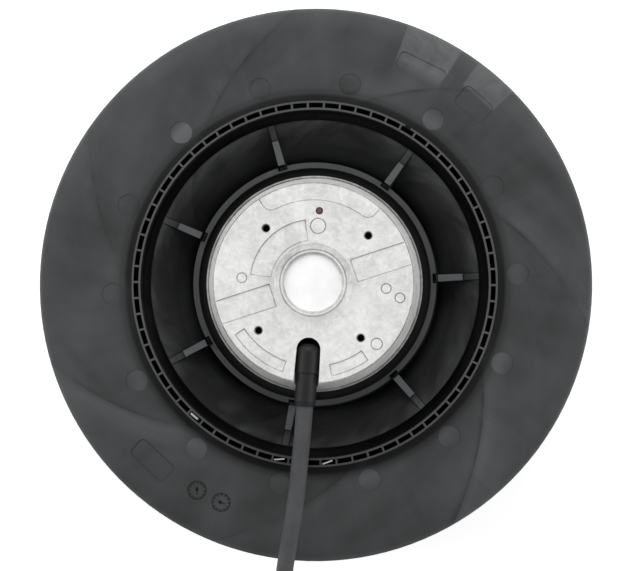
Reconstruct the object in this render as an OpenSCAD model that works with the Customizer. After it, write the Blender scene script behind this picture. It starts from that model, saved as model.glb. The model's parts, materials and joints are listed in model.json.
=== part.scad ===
// Plug fan: a backward curved centrifugal impeller on an external rotor motor.
// The fan lies on its inlet edge at height zero, and Z runs along the spin axis
// towards the mounting flange. The cable slot of the flange points along minus Y.

/* [Impeller disc] */
// Outside diameter of the impeller
impeller_d = 225; // [220:1:250]
// Width of the air outlet between the shroud rim and the back disc
outlet_w = 48.8; // [44:0.2:56]
// Thickness of the back disc
disc_t = 2.2; // [2:0.1:3]
// Rounding along the top edge of the back disc
disc_edge_r = 1; // [0.4:0.1:1.2]
// Radial run of the hub's curve past the balancing ring, up to the flat of the disc
trumpet_run = 9; // [8:0.5:14]
// Depth of the curved hub below the air side of the disc
trumpet_h = 28; // [26:0.5:30]
// Radial wall of the hub at its inlet end
hub_wall = 3.8; // [3.4:0.1:4.8]
// Length of the straight inlet end of the hub
hub_foot_h = 3; // [2:0.5:6]

/* [Bowl and collar] */
// Radial wall of the collar round the motor
collar_t = 2.2; // [1.8:0.1:2.4]
// Height of the collar above the disc
collar_rise = 0.5; // [0:0.1:1.5]
// Gap between the collar and the foot of the bowl
bowl_gap = 1.2; // [0.8:0.1:1.5]
// Radial width of the bowl from its foot to its rim
bowl_w = 16; // [14.4:0.1:16.8]
// Height of the rim of the bowl above the disc
bowl_rim_rise = 1.8; // [1:0.1:2.5]
// Depth of the bowl below its rim
bowl_depth = 21.8; // [19:0.2:23]
// How far outside its rim the curve of the bowl would turn level
bowl_overrun = 3.4; // [2:0.2:6]
// Number of ribs between the collar and the rim of the bowl
rib_count = 7; // [5:1:9]
// Width of a rib at the collar
rib_in_w = 2.8; // [2.2:0.1:3.8]
// Width of a rib at the rim
rib_out_w = 2.4; // [1.6:0.1:3.2]
// Length of the low outer end of a rib, beyond its raised land
rib_end_l = 6.6; // [4:0.2:10]
// Height of the land above the rest of the rib
rib_land_h = 0.5; // [0.2:0.1:1.5]
// Width of the notch in the collar at each rib
notch_w = 3.9; // [3:0.1:5]
// Depth of the notch below the collar
notch_depth = 9; // [3:0.5:10]

/* [Balancing ring] */
// Radial width of the groove between the bowl and the ring of balancing pockets
groove_w = 3.8; // [2.8:0.1:4.6]
// Radial width of the ring
ring_w = 3.6; // [3.2:0.1:4.2]
// Height of the ring above the disc
ring_rise = 6; // [4.5:0.1:6.2]
// Number of balancing pockets
pocket_count = 70; // [50:1:80]
// Thickness of the pocket walls and dividers
pocket_wall = 0.8; // [0.6:0.1:1]
// Depth of the pockets
pocket_depth = 7.4; // [5:0.1:7.6]
// Fillet between the ring and the disc
ring_fillet = 4.4; // [3:0.1:4.4]
// Depth of the groove between bowl and ring below the top of the disc
groove_drop = 3; // [1:0.1:3]

/* [Shroud and blades] */
// Radial width of the shroud from the inlet eye to its rim
shroud_w = 38.5; // [36:0.5:42]
// Height of the shroud from the inlet edge to its outer rim
shroud_h = 27; // [24:0.5:32]
// Length of the straight neck at the inlet
neck_h = 9; // [6:0.5:12]
// Wall of the shroud
shroud_t = 2; // [1.6:0.1:3]
// Thickness of a blade
blade_t = 2.4; // [1.8:0.1:3.5]
// Angle between a blade and the circle at its leading edge
blade_in_angle = 24; // [20:1:28]
// Angle between a blade and the circle at its trailing edge
blade_out_angle = 40; // [36:1:44]
// How far inside the eye the leading edge meets the hub
lead_inset = 6; // [2:0.5:8]
// How far outside the eye the leading edge meets the shroud
lead_outset = 5; // [2:0.5:10]
// Distance of the trailing edge from the rim
blade_setback = 1; // [0.5:0.1:4]

/* [Rotor] */
// Outside diameter of the rotor pot
rotor_d = 92; // [91:0.5:93]
// Height of the front of the rotor above the inlet edge
rotor_front = 20; // [16:0.5:24]
// Wall of the rotor pot
pot_wall = 2.6; // [2:0.1:3]
// Thickness of the front of the rotor pot
pot_front_t = 2.5; // [2:0.1:3]
// How far the rim of the rotor pot lies below the top of the disc
pot_rim_drop = 6; // [5:0.2:6.4]
// Length of the laminated cores
core_h = 28; // [20:1:30]
// Height of the cores above the inside of the rotor front
core_lift = 13.5; // [12.5:0.5:16]
// Air gap between stator and rotor
air_gap = 0.35; // [0.2:0.05:0.6]
// Radial width of the rotor's laminated ring, as a share of the rotor's radius
rotor_core_share = 0.196; // [0.18:0.002:0.21]
// Number of cage bars
cage_bars = 26; // [18:1:30]
// Diameter of a cage bar
cage_bar_d = 3.2; // [2.4:0.1:3.6]
// Height of the end rings of the cage
cage_ring_h = 5; // [3:0.5:6]
// Radial wall of the steel ring between rotor and hub
insert_t = 1.2; // [1:0.1:1.4]
// Height of the steel ring between rotor and hub
insert_h = 20; // [12:1:26]

/* [Shaft and bearings] */
// Outside diameter of a ball bearing
bearing_d = 22; // [21.8:0.1:22.4]
// Bore of a ball bearing, the shaft diameter
shaft_d = 8; // [7.6:0.1:8.4]
// Width of a ball bearing
bearing_w = 7; // [6.4:0.1:8]
// Diameter of a bearing ball
ball_d = 4; // [3.6:0.1:4.2]
// Number of balls in a bearing
ball_count = 7; // [6:1:7]
// Thickness of the wave washer
washer_t = 0.4; // [0.3:0.1:0.6]
// Space for the wave washer
washer_room = 1.2; // [1:0.1:1.6]

/* [Mounting flange] */
// Height of the base of the flange above the rim of the rotor pot
flange_lift = 7; // [6:0.2:8]
// How far the inner skirt of the flange reaches into the rotor pot
seal_depth = 2; // [1:0.2:2.4]
// Running gap between the inner skirt and the rotor pot
seal_gap = 0.8; // [0.5:0.1:1]
// Height of the flange from its base to its face
flange_h = 13.5; // [13:0.1:16]
// How far the base of the flange stays inside the rotor's outside
flange_inset = 2.2; // [1:0.1:3]
// Radial width of the slope from the base to the mounting face
flange_slope_w = 3.9; // [3.4:0.1:5]
// Thickness of the mounting plate
flange_t = 3.2; // [2.6:0.1:4]
// Wall of the flange skirt
skirt_t = 2.2; // [1.8:0.1:2.6]
// Pitch circle diameter of the mounting holes
bolt_pcd = 58; // [56:0.5:60]
// Diameter of a mounting hole, the core of an M4 thread
bolt_hole_d = 3.3; // [3:0.1:4.2]
// Outside diameter of the bearing tube
tube_d = 29; // [27:0.5:31]
// Radius of the foot of the centre boss
boss_foot_r = 15.9; // [15:0.1:17]
// Height of the centre boss above the face
boss_h = 2.7; // [2.2:0.1:4]
// Diameter of the closing cap
cap_d = 22.6; // [22.5:0.1:23.2]
// Depth of the closing cap below the boss
cap_recess = 1.6; // [0.8:0.1:1.6]
// Depth of the panels in the mounting face
panel_depth = 0.5; // [0.2:0.1:0.6]
// Depth of the fine grooves round the panels and marks
line_depth = 1; // [0.6:0.1:1.4]
// How far the round end of the cable slot lies outside the middle of the winding head
slot_run = 1.4; // [0.8:0.1:3]
// Width of the cable slot
slot_w = 9.6; // [9:0.1:10.4]

/* [Windings] */
// Number of winding slots
slot_count = 12; // [6:2:14]
// Diameter of a coil side, as a share of the radial width of the stack
coil_side_share = 0.307; // [0.207:0.01:0.317]
// Room round a coil side for the slot liner
liner_t = 0.4; // [0.2:0.1:0.6]
// Height of the winding heads
head_h = 7; // [5:0.5:8]
// Thickness of the end insulators
insulator_t = 0.8; // [0.6:0.1:1.2]

/* [Cable] */
// Diameter of the cable
cable_d = 6.8; // [6:0.1:7]
// Height of the middle of the cable below the mounting face
cable_drop = 4.2; // [4:0.1:4.4]
// Outer radius of the cable sleeve
sleeve_r = 4.3; // [4:0.1:4.5]
// How far the sleeve runs past the base of the flange
sleeve_run = 5.7; // [2:0.1:10]
// Radius of the middle of the coil's turns
coil_r = 37.5; // [34:0.5:42]
// Wall of the tie round the coil
tie_t = 0.8; // [0.6:0.1:1.2]
// Width of the tie
tie_w = 4; // [3:0.5:8]
// Diameter of an insulated conductor
conductor_d = 1.9; // [1.6:0.1:2.4]
// Length of a conductor outside the sheath
conductor_l = 40; // [30:1:60]
// Length of a wire end ferrule
ferrule_l = 8; // [6:1:12]

/* [Hidden] */
$fn = 96;

// How far a cut runs past the face that it opens
over = 1;

// Levels and radii of the impeller
impeller_r = impeller_d / 2;
eye_r = impeller_r - shroud_w;
lead_disc_r = eye_r - lead_inset;
lead_shroud_r = eye_r + lead_outset;
disc_under_z = shroud_h + outlet_w;
disc_top_z = disc_under_z + disc_t;
hub_z = disc_under_z - trumpet_h;
rotor_r = rotor_d / 2;
collar_in_r = rotor_r + insert_t;
collar_out_r = collar_in_r + collar_t;
collar_top_z = disc_top_z + collar_rise;
hub_foot_r = collar_in_r + hub_wall;
bowl_foot_r = collar_out_r + bowl_gap;
bowl_rim_z = disc_top_z + bowl_rim_rise;
bowl_foot_z = bowl_rim_z - bowl_depth;
bowl_rim_r = bowl_foot_r + bowl_w;
bowl_centre_r = bowl_rim_r + bowl_overrun;
bowl_end_angle = acos(bowl_overrun / (bowl_centre_r - bowl_foot_r));
rib_land_r = bowl_rim_r - rib_end_l;
ring_in_r = bowl_rim_r + groove_w;
ring_out_r = ring_in_r + ring_w;
trumpet_r = ring_out_r + trumpet_run;
ring_top_z = disc_top_z + ring_rise;
groove_z = disc_top_z - groove_drop;
groove_round = 1.2;
eye_lip = 0.6;
rim_lip = 0.4;
// Segments along each revolved curve
curve_steps = 14;
small_steps = 6;

// Angles of the impeller's features in its rest pose
rib_first_angle = 6.8;
pocket_first_angle = 8.8;
index_angle = 63.2;
index_w = 2.6;
// angle, length, width and turn of each balance clip in its pocket
clips = [[232.1, 3.7, 0.8, 1.4], [263, 4.2, 0.5, 15], [278.5, 4.2, 0.5, 16]];
blade_first_angle = 20;
rib_rise = 0.1;
rib_dip = 0.8;
rib_root = 1;
notch_skin = 0.7;
rib_start_r = collar_out_r + notch_skin;

// Marks that the mould leaves on the disc
ejector_count = 14;
ejector_first_angle = 7;
ejector_run = 8.5;
ejector_circle_r = ring_out_r + ejector_run;
ejector_r = 4.5;
ejector_depth = 0.2;
pad_inset = 15;
pad_circle_r = impeller_r - pad_inset;
pad_depth = 0.4;
pad_corner_r = 2.2;
pads = [
  // angle of the pad, its length along the circle, its radial width
  [67.9, 20.8, 7.5],
  [52.6, 15, 9.4],
  [231.5, 18.5, 8.7]
];
clock_inset = 16;
clock_circle_r = impeller_r - clock_inset;
clock_r = 3.9;
clock_line = 0.5;
clock_angles = [244.5, 251];

// Levels and radii of the motor
pot_inner_r = rotor_r - pot_wall;
pot_floor_z = rotor_front + pot_front_t;
pot_rim_z = disc_top_z - pot_rim_drop;
pot_round = 4;
pot_bend = 2;
pot_dish = pot_front_t / 5;
flange_base_z = pot_rim_z + flange_lift;
seal_r = pot_inner_r - seal_gap;
seal_z = pot_rim_z - seal_depth;
face_z = flange_base_z + flange_h;
boss_top_z = face_z + boss_h;
plate_z = face_z - flange_t;
core_z = pot_floor_z + core_lift;
core_top_z = core_z + core_h;
core_in_r = pot_inner_r - rotor_core_share * rotor_r;
stack_r = core_in_r - air_gap;
cage_pitch_r = (core_in_r + pot_inner_r) / 2;
cage_ring_margin = 0.8;
insert_z = hub_z + hub_foot_h;

// Bearings on the shaft
bearing_r = bearing_d / 2;
shaft_r = shaft_d / 2;
ball_r = ball_d / 2;
ball_pitch_r = (bearing_r + shaft_r) / 2;
ball_play = 0.05;
race_r = ball_r + ball_play;
shoulder_share = 0.62;
inner_race_r = ball_pitch_r - ball_r * shoulder_share;
outer_race_r = ball_pitch_r + ball_r * shoulder_share;
ball_cage_t = 0.8;
ball_cage_h = 3;
tube_r = tube_d / 2;
tube_overrun = 3;
tube_end_z = core_z - tube_overrun;
bearing_set_in = 0.5;
lower_bearing_z = tube_end_z + bearing_set_in;
lower_shoulder_z = lower_bearing_z + bearing_w + washer_room;
upper_bearing_cover = 2;
upper_bearing_z = face_z - upper_bearing_cover - bearing_w;
bearing_shoulder = 1.5;
clip_t = 0.8;
clip_wall = 2;
clip_groove = 0.3;
clip_opening = 3;
clip_ring_z = upper_bearing_z + bearing_w;
shaft_end_l = 0.5;
shaft_top_z = clip_ring_z + clip_t + shaft_end_l;
shaft_chamfer = 0.5;
bush_flange_r = 10;
bush_flange_t = 2;
bush_r = 6.4;
bush_end_r = 5.6;

// Flange details
flange_base_r = rotor_r - flange_inset;
flange_face_r = flange_base_r - flange_slope_w;
cap_r = cap_d / 2;
cap_seat_z = face_z;
cap_t = boss_h - cap_recess;
boss_rim_w = 1.8;
boss_lead = 1;
boss_step = 0.5;
flange_edge_r = 0.2;
edge_line_w = 0.4;
edge_line_depth = 1.4;
nick_w = 1.2;
nick_angle = -13.2;
rim_line_w = 0.6;
rim_groove_w = 0.5;
rim_groove_depth = 1;
rim_line_h = 1.6;
screw_boss_r = 4.2;
screw_boss_h = 8;
face_panel_in_r = 16.8;
bar_panel_w = 9.8;
bar_panel_aside = 0.4;
bar_panel_angle = 22.2;
// inner radius, outer radius, first angle and last angle of each panel
sector_panels = [
  [16.9, 25.6, 101, 177],
  [32.9, 37.7, 217.3, 255.4],
  [33, 37.9, 285.1, 309.9]
];
top_panel_r = 33.1;
top_panel_corner = 4;
top_panel_angles = [51.9, 127.6];
panel_line_w = 0.4;
mark_line = 0.5;
// radial place, angle and radius of each round mark in the face
marks = [[28.7, 179.9, 2.2], [29.2, -0.2, 2.2], [35.1, -5.6, 2.2], [35.1, -39.7, 2.5]];
earth_mark_r = 3.3;
earth_mark_place = 22.9;
earth_place = 29;
earth_angle = 89.4;
earth_r = 1.5;
earth_draft = 0.12;
earth_recess = 2.2;
slot_flare = 0.9;

// Stator inside
slot_place_share = 0.54;
slot_pitch_r = tube_r + slot_place_share * (stack_r - tube_r);
coil_side_r = coil_side_share * (stack_r - tube_r) / 2;
slot_bore_r = coil_side_r + liner_t;
slot_mouth_w = 2.4;
insulator_inset = 0.65;
insulator_out_r = stack_r - insulator_inset;
insulator_lip_t = 2.7;
insulator_lip_r = tube_r + insulator_lip_t;
insulator_lip_h = 5;
head_lip_gap = 1.8;
head_in_r = insulator_lip_r + head_lip_gap;
head_inset = 2.55;
head_out_r = stack_r - head_inset;
head_mid_r = (head_in_r + head_out_r) / 2;
head_round = 2.4;
protector_l = 13;
protector_w = 6.5;
protector_h = 4.2;
protector_round = 1.2;

// Cable and sleeve
cable_r = cable_d / 2;
cable_z = face_z - cable_drop;
slot_in_r = head_mid_r + slot_run;
slot_r = slot_w / 2;
sleeve_grip_r = 4.7;
sleeve_nose_r = 2.6;
sleeve_nose_l = 2.2;
sleeve_in_r = slot_in_r - sleeve_nose_l;
sleeve_step_inset = 7.8;
sleeve_step_r = flange_base_r - sleeve_step_inset;
sleeve_tip_l = 2;
sleeve_end_r = flange_base_r + sleeve_run;
lead_r = 2.4;

// Balance clips, folded from strip, stand in their pockets
clip_strip = 0.2;
clip_top_drop = 0.3;
pocket_mid_r = ring_in_r + ring_w / 2;
pocket_z = ring_top_z - pocket_depth;

// Route of the cable over the disc and down to the coil. Each step gives the place aside,
// the run past the end of the sleeve, and the height as a share of the drop to the coil.
coil_turns_high = 2;
coil_top_z = tie_t + coil_turns_high * cable_d;
coil_high_z = coil_top_z - cable_r;
route_steps = [
  [0, 0], [0, 10.5], [-0.3, 22.5], [-0.6, 34.5], [-1.3, 45.5], [-2.3, 55.5], [-3.2, 65.5],
  [-3.6, 74.5], [-3.9, 82.5], [-4, 89], [-4, 93.1], [-4, 95.1], [-4, 96.1], [-4, 98.1],
  [-4, 102.1], [-4, 108.1], [-4, 116], [-4, 124.5]
];
route_shares = [
  1, 1, 1.003, 1.004, 1.003, 0.996, 0.978, 0.939, 0.8745, 0.784, 0.673, 0.543, 0.414, 0.291,
  0.181, 0.0906, 0.0259, 0
];
cable_route = [
  for (k = [0:len(route_steps) - 1])
    [
      route_steps[k][0],
      -sleeve_end_r - route_steps[k][1],
      coil_high_z + route_shares[k] * (cable_z - coil_high_z)
    ]
];
coil_x = 33.5;
coil_run = 124.5;
coil_y = -sleeve_end_r - coil_run;
tie_angle = 30;
tie_play = 0.1;
tie_in_r = cable_r + tie_play;
// The tail leaves the lowest turn and ends in four conductors, two above two
tail_steps = [[0, 0, 0], [13.5, 0.6, -0.1], [26.5, 4.7, -0.4], [38, 11.9, -0.6]];
tail_route = [
  for (p = tail_steps) [coil_x + p[0], coil_y - coil_r + p[1], tie_t + cable_r + p[2]]
];
fan_heading = 33;
low_fan_turn = 15;
high_fan_turn = 5;
low_fan_dip = 1.2;
high_fan_dip = 4;
ferrule_r = 1.3;
ferrule_wire_r = 0.7;

// Points of an elliptic arc about a centre, from one angle to another
function arc_points(cx, cy, rx, ry, from, to, steps) =
  [for (k = [0:steps]) let(a = from + (to - from) * k / steps) [cx + rx * cos(a), cy + ry * sin(a)]];

// The air side of the hub and disc, from the hub foot outwards
function trumpet_points() =
  arc_points(trumpet_r, hub_z, hub_foot_r - trumpet_r, trumpet_h, 0, 90, curve_steps);

// The air side of the shroud, from the neck outwards
function shroud_points() =
  arc_points(impeller_r, neck_h, eye_r - impeller_r, shroud_h - neck_h, 0, 90, curve_steps);

// The back of the bowl, from its foot to its rim
function bowl_points(drop) =
  arc_points(bowl_centre_r, bowl_foot_z - drop, bowl_foot_r - bowl_centre_r,
    bowl_depth / sin(bowl_end_angle), 0, bowl_end_angle, curve_steps);

function reversed(list) = [for (k = [len(list) - 1:-1:0]) list[k]];

// Rings of points round a route, and the faces that join them into one closed tube.
// The aside vector is one that the route never runs along.
function unit(v) = v / norm(v);
function heading(route, k) =
  unit(route[min(k + 1, len(route) - 1)] - route[max(k - 1, 0)]);
function tube_ring(route, k, r, sides, aside) =
  let(t = heading(route, k), s = unit(cross(t, aside)), u = cross(s, t))
  [for (j = [0:sides - 1]) route[k] + r * (cos(360 * j / sides) * s + sin(360 * j / sides) * u)];

module tube_along(route, r, sides, aside) {
  rings = len(route);
  points = [for (k = [0:rings - 1]) each tube_ring(route, k, r, sides, aside)];
  walls = [
    for (k = [0:rings - 2], j = [0:sides - 1])
      let(n = (j + 1) % sides)
      [k * sides + j, (k + 1) * sides + j, (k + 1) * sides + n, k * sides + n]
  ];
  first_cap = [for (j = [0:sides - 1]) j];
  last_cap = [for (j = [sides - 1:-1:0]) (rings - 1) * sides + j];
  polyhedron(points = points, faces = concat(walls, [first_cap, last_cap]), convexity = 4);
}

// A plain ring standing on a level
module ring(outer_r, inner_r, z, h) {
  translate([0, 0, z])
    difference() {
      cylinder(r = outer_r, h = h);
      translate([0, 0, -over]) cylinder(r = inner_r, h = h + 2 * over);
    }
}

// A flat sector between two radii and two angles
module sector(inner_r, outer_r, from, to) {
  steps = curve_steps;
  polygon(concat(
    arc_points(0, 0, inner_r, inner_r, from, to, steps),
    arc_points(0, 0, outer_r, outer_r, to, from, steps)
  ));
}

// A tile with rounded corners, for shallow pads
module rounded_tile(l, w, r) {
  square([l - 2 * r, w], center = true);
  square([l, w - 2 * r], center = true);
  for (x = [-1, 1], y = [-1, 1]) translate([x * (l / 2 - r), y * (w / 2 - r)]) circle(r = r, $fn = 32);
}

// Section of the disc with its hub, bowl, groove and balancing ring
module backplate_section() {
  groove_mid_r = (ring_in_r + bowl_rim_r) / 2;
  fillet_r = ring_out_r + ring_fillet;
  polygon(concat(
    [[collar_in_r, hub_z - hub_foot_h], [hub_foot_r, hub_z - hub_foot_h]],
    trumpet_points(),
    [[impeller_r - rim_lip, disc_under_z], [impeller_r, disc_under_z + rim_lip]],
    arc_points(impeller_r - disc_edge_r, disc_top_z - disc_edge_r, disc_edge_r, disc_edge_r,
      0, 90, small_steps),
    arc_points(fillet_r, disc_top_z + ring_fillet, ring_fillet, ring_fillet, 270, 180, small_steps),
    [[ring_out_r, ring_top_z], [ring_in_r, ring_top_z]],
    arc_points(groove_mid_r, groove_z + groove_round, ring_in_r - groove_mid_r, groove_round,
      0, -180, small_steps),
    reversed(bowl_points(0)),
    [[collar_out_r, bowl_foot_z], [collar_out_r, collar_top_z], [collar_in_r, collar_top_z]]
  ));
}

// One rib of the bowl, drawn along plus X, with its raised land
module bowl_rib() {
  low = bowl_points(rib_root);
  top_z = bowl_rim_z + rib_rise;
  collar_mid_r = (collar_in_r + collar_out_r) / 2;
  intersection() {
    rotate([90, 0, 0])
      linear_extrude(height = 2 * rib_in_w, center = true)
        polygon(concat(
          [[collar_mid_r, bowl_foot_z - rib_root]],
          low,
          [
            [bowl_rim_r, top_z],
            [rib_land_r, top_z - rib_dip],
            [rib_land_r, top_z + rib_land_h],
            [rib_start_r, top_z + rib_land_h],
            [rib_start_r, collar_top_z - notch_depth],
            [collar_mid_r, collar_top_z - notch_depth]
          ]
        ));
    linear_extrude(height = top_z + rib_land_h + over)
      polygon([
        [collar_mid_r, -rib_in_w / 2],
        [bowl_rim_r, -rib_out_w / 2],
        [bowl_rim_r, rib_out_w / 2],
        [collar_mid_r, rib_in_w / 2]
      ]);
  }
}

// The balancing pockets: one ring channel with the dividers left standing
module balancing_pockets() {
  difference() {
    ring(ring_out_r - pocket_wall, ring_in_r + pocket_wall, pocket_z, pocket_depth + over);
    for (k = [0:pocket_count - 1])
      rotate([0, 0, pocket_first_angle + k * 360 / pocket_count])
        translate([ring_in_r, -pocket_wall / 2, pocket_z - over])
          cube([ring_w, pocket_wall, pocket_depth + 3 * over]);
  }
  rotate([0, 0, index_angle])
    translate([ring_out_r - 2 * pocket_wall, -index_w / 2, disc_top_z + ring_rise / 2])
      cube([2 * pocket_wall + over, index_w, ring_rise]);
}

module impeller_backplate() {
  color([0.1, 0.1, 0.11])
    difference() {
      union() {
        rotate_extrude(convexity = 8) backplate_section();
        for (k = [0:rib_count - 1]) rotate([0, 0, rib_first_angle + k * 360 / rib_count]) bowl_rib();
      }
      balancing_pockets();
      for (k = [0:rib_count - 1])
        rotate([0, 0, rib_first_angle + k * 360 / rib_count])
          translate([collar_in_r + notch_skin, -notch_w / 2, collar_top_z - notch_depth])
            cube([rib_start_r - collar_in_r - notch_skin, notch_w, notch_depth + over]);
      for (k = [0:ejector_count - 1])
        rotate([0, 0, ejector_first_angle + k * 360 / ejector_count])
          translate([ejector_circle_r, 0, disc_top_z - ejector_depth])
            cylinder(r = ejector_r, h = ejector_depth + over);
      for (pad = pads)
        rotate([0, 0, pad[0]])
          translate([pad_circle_r, 0, disc_top_z - pad_depth])
            rotate([0, 0, 90])
              linear_extrude(height = pad_depth + over) rounded_tile(pad[1], pad[2], pad_corner_r);
      for (a = clock_angles)
        rotate([0, 0, a])
          translate([clock_circle_r, 0, 0])
            ring(clock_r, clock_r - clock_line, disc_top_z - pad_depth, pad_depth + over);
    }
}

module shroud() {
  outer = arc_points(impeller_r, neck_h, eye_r + shroud_t - impeller_r, shroud_h - shroud_t - neck_h,
    90, 0, curve_steps);
  color([0.1, 0.1, 0.11])
    rotate_extrude(convexity = 6)
      polygon(concat(
        [[eye_r + eye_lip, 0], [eye_r, eye_lip]],
        shroud_points(),
        outer,
        [[eye_r + shroud_t, 0]]
      ));
}

// The space between shroud and disc that a blade fills from wall to wall
module air_channel() {
  rotate_extrude(convexity = 6)
    polygon(concat(
      shroud_points(),
      [[impeller_r, disc_under_z]],
      reversed(trumpet_points()),
      [[hub_foot_r, neck_h]]
    ));
}

// A blade is an arc of constant radius, cut to the channel and to its two edges
module blade(index) {
  tip_r = impeller_r - blade_setback;
  arc_r = (tip_r * tip_r - lead_disc_r * lead_disc_r)
    / (2 * (tip_r * cos(blade_out_angle) - lead_disc_r * cos(blade_in_angle)));
  centre_x = lead_disc_r - arc_r * cos(blade_in_angle);
  centre_y = -arc_r * sin(blade_in_angle);
  reach = arc_r + impeller_r;
  color([0.13, 0.13, 0.14])
    rotate([0, 0, blade_first_angle + index * 360 / 7])
      intersection() {
        air_channel_outside_eye(tip_r);
        translate([centre_x, centre_y, 0])
          difference() {
            cylinder(r = arc_r + blade_t / 2, h = disc_top_z, $fn = 360);
            translate([0, 0, -over])
              cylinder(r = arc_r - blade_t / 2, h = disc_top_z + 2 * over, $fn = 360);
          }
        rotate([0, 0, atan2(centre_y, centre_x)])
          translate([-reach, 0, -over])
            cube([2 * reach, reach, disc_top_z + 2 * over]);
      }
}

// The channel between the slanted leading edge and the trailing edge
module air_channel_outside_eye(tip_r) {
  intersection() {
    air_channel();
    rotate_extrude(convexity = 4)
      polygon([
        [lead_shroud_r, neck_h],
        [tip_r, neck_h],
        [tip_r, disc_top_z],
        [lead_disc_r, disc_top_z],
        [lead_disc_r, disc_under_z - disc_t]
      ]);
  }
}

module balance_clips() {
  clip_h = pocket_depth - clip_top_drop;
  color("silver")
    for (clip = clips)
      rotate([0, 0, clip[0]])
        translate([pocket_mid_r, 0, pocket_z])
          rotate([0, 0, clip[3]])
            difference() {
              translate([-clip[2] / 2, -clip[1] / 2, 0]) cube([clip[2], clip[1], clip_h]);
              translate([clip_strip - clip[2] / 2, -clip[1] / 2 - over, -over])
                cube([clip[2] - 2 * clip_strip, clip[1] + 2 * over, clip_h - clip_strip + over]);
            }
}

// The drawn pot of the external rotor, closed towards the inlet
module rotor_pot() {
  dish_r = 2 * bush_flange_r;
  color([0.12, 0.12, 0.13])
    rotate_extrude(convexity = 6)
      polygon(concat(
        [
          [bush_r, rotor_front + pot_dish],
          [dish_r, rotor_front + pot_dish],
          [dish_r + pot_dish, rotor_front]
        ],
        arc_points(rotor_r - pot_round, rotor_front + pot_round, pot_round, pot_round,
          270, 360, small_steps),
        [[rotor_r, pot_rim_z], [pot_inner_r, pot_rim_z]],
        arc_points(pot_inner_r - pot_bend, pot_floor_z + pot_bend, pot_bend, pot_bend,
          0, -90, small_steps),
        [[bush_r, pot_floor_z]]
      ));
}

module rotor_bush() {
  bottom_z = rotor_front + pot_dish;
  color("darkgray")
    rotate_extrude()
      polygon([
        [shaft_r, bottom_z],
        [bush_r, bottom_z],
        [bush_r, pot_floor_z],
        [bush_flange_r, pot_floor_z],
        [bush_flange_r, pot_floor_z + bush_flange_t],
        [bush_r, pot_floor_z + bush_flange_t],
        [bush_end_r, lower_bearing_z],
        [shaft_r, lower_bearing_z]
      ]);
}

module shaft() {
  bottom_z = rotor_front + pot_dish;
  groove_z0 = clip_ring_z;
  color("gainsboro")
    rotate_extrude()
      polygon([
        [0, bottom_z],
        [shaft_r - shaft_chamfer, bottom_z],
        [shaft_r, bottom_z + shaft_chamfer],
        [shaft_r, groove_z0],
        [shaft_r - clip_groove, groove_z0],
        [shaft_r - clip_groove, groove_z0 + clip_t],
        [shaft_r, groove_z0 + clip_t],
        [shaft_r, shaft_top_z - shaft_chamfer],
        [shaft_r - shaft_chamfer, shaft_top_z],
        [0, shaft_top_z]
      ]);
}

module retaining_ring() {
  color("dimgray")
    difference() {
      ring(shaft_r + clip_wall, shaft_r - clip_groove, clip_ring_z, clip_t);
      translate([0, -clip_opening / 2, clip_ring_z - over])
        cube([2 * shaft_r, clip_opening, clip_t + 2 * over]);
    }
}

module bearing_outer(z) {
  color("lightsteelblue")
    rotate_extrude()
      difference() {
        translate([outer_race_r, z]) square([bearing_r - outer_race_r, bearing_w]);
        translate([ball_pitch_r, z + bearing_w / 2]) circle(r = race_r);
      }
}

module bearing_inner(z) {
  color("lightsteelblue")
    rotate_extrude()
      difference() {
        translate([shaft_r, z]) square([inner_race_r - shaft_r, bearing_w]);
        translate([ball_pitch_r, z + bearing_w / 2]) circle(r = race_r);
      }
}

module at_each_ball(z) {
  for (k = [0:ball_count - 1])
    rotate([0, 0, k * 360 / ball_count]) translate([ball_pitch_r, 0, z + bearing_w / 2]) children();
}

module bearing_balls(z) {
  color("white") at_each_ball(z) sphere(r = ball_r, $fn = 48);
}

module bearing_cage(z) {
  color("goldenrod")
    difference() {
      ring(ball_pitch_r + ball_cage_t / 2, ball_pitch_r - ball_cage_t / 2,
        z + (bearing_w - ball_cage_h) / 2, ball_cage_h + ball_r / 2);
      at_each_ball(z) sphere(r = race_r, $fn = 48);
    }
}

module upper_bearing_outer() { bearing_outer(upper_bearing_z); }
module upper_bearing_inner() { bearing_inner(upper_bearing_z); }
module upper_bearing_balls() { bearing_balls(upper_bearing_z); }
module upper_bearing_cage() { bearing_cage(upper_bearing_z); }
module lower_bearing_outer() { bearing_outer(lower_bearing_z); }
module lower_bearing_inner() { bearing_inner(lower_bearing_z); }
module lower_bearing_balls() { bearing_balls(lower_bearing_z); }
module lower_bearing_cage() { bearing_cage(lower_bearing_z); }

// A wave washer with three crests keeps the lower bearing loaded
module preload_washer() {
  steps = 36;
  crests = 3;
  outer_r = bearing_r - washer_t;
  inner_r = outer_race_r + washer_t / 2;
  mid_z = lower_shoulder_z - washer_room / 2 - washer_t / 2;
  swing = (washer_room - washer_t) / 2;
  points = [
    for (k = [0:steps - 1])
      let(a = 360 * k / steps, w = mid_z + swing * cos(crests * a))
      each [
        [inner_r * cos(a), inner_r * sin(a), w],
        [outer_r * cos(a), outer_r * sin(a), w],
        [outer_r * cos(a), outer_r * sin(a), w + washer_t],
        [inner_r * cos(a), inner_r * sin(a), w + washer_t]
      ]
  ];
  walls = [
    for (k = [0:steps - 1], j = [0:3])
      let(n = (k + 1) % steps, m = (j + 1) % 4)
      each [
        [k * 4 + j, n * 4 + j, n * 4 + m],
        [k * 4 + j, n * 4 + m, k * 4 + m]
      ]
  ];
  color("silver") polyhedron(points = points, faces = walls, convexity = 6);
}

module rotor_core() {
  color("slategray")
    difference() {
      ring(pot_inner_r, core_in_r, core_z, core_h);
      cage_bar_pattern(core_z - over, core_h + 2 * over);
    }
}

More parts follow.
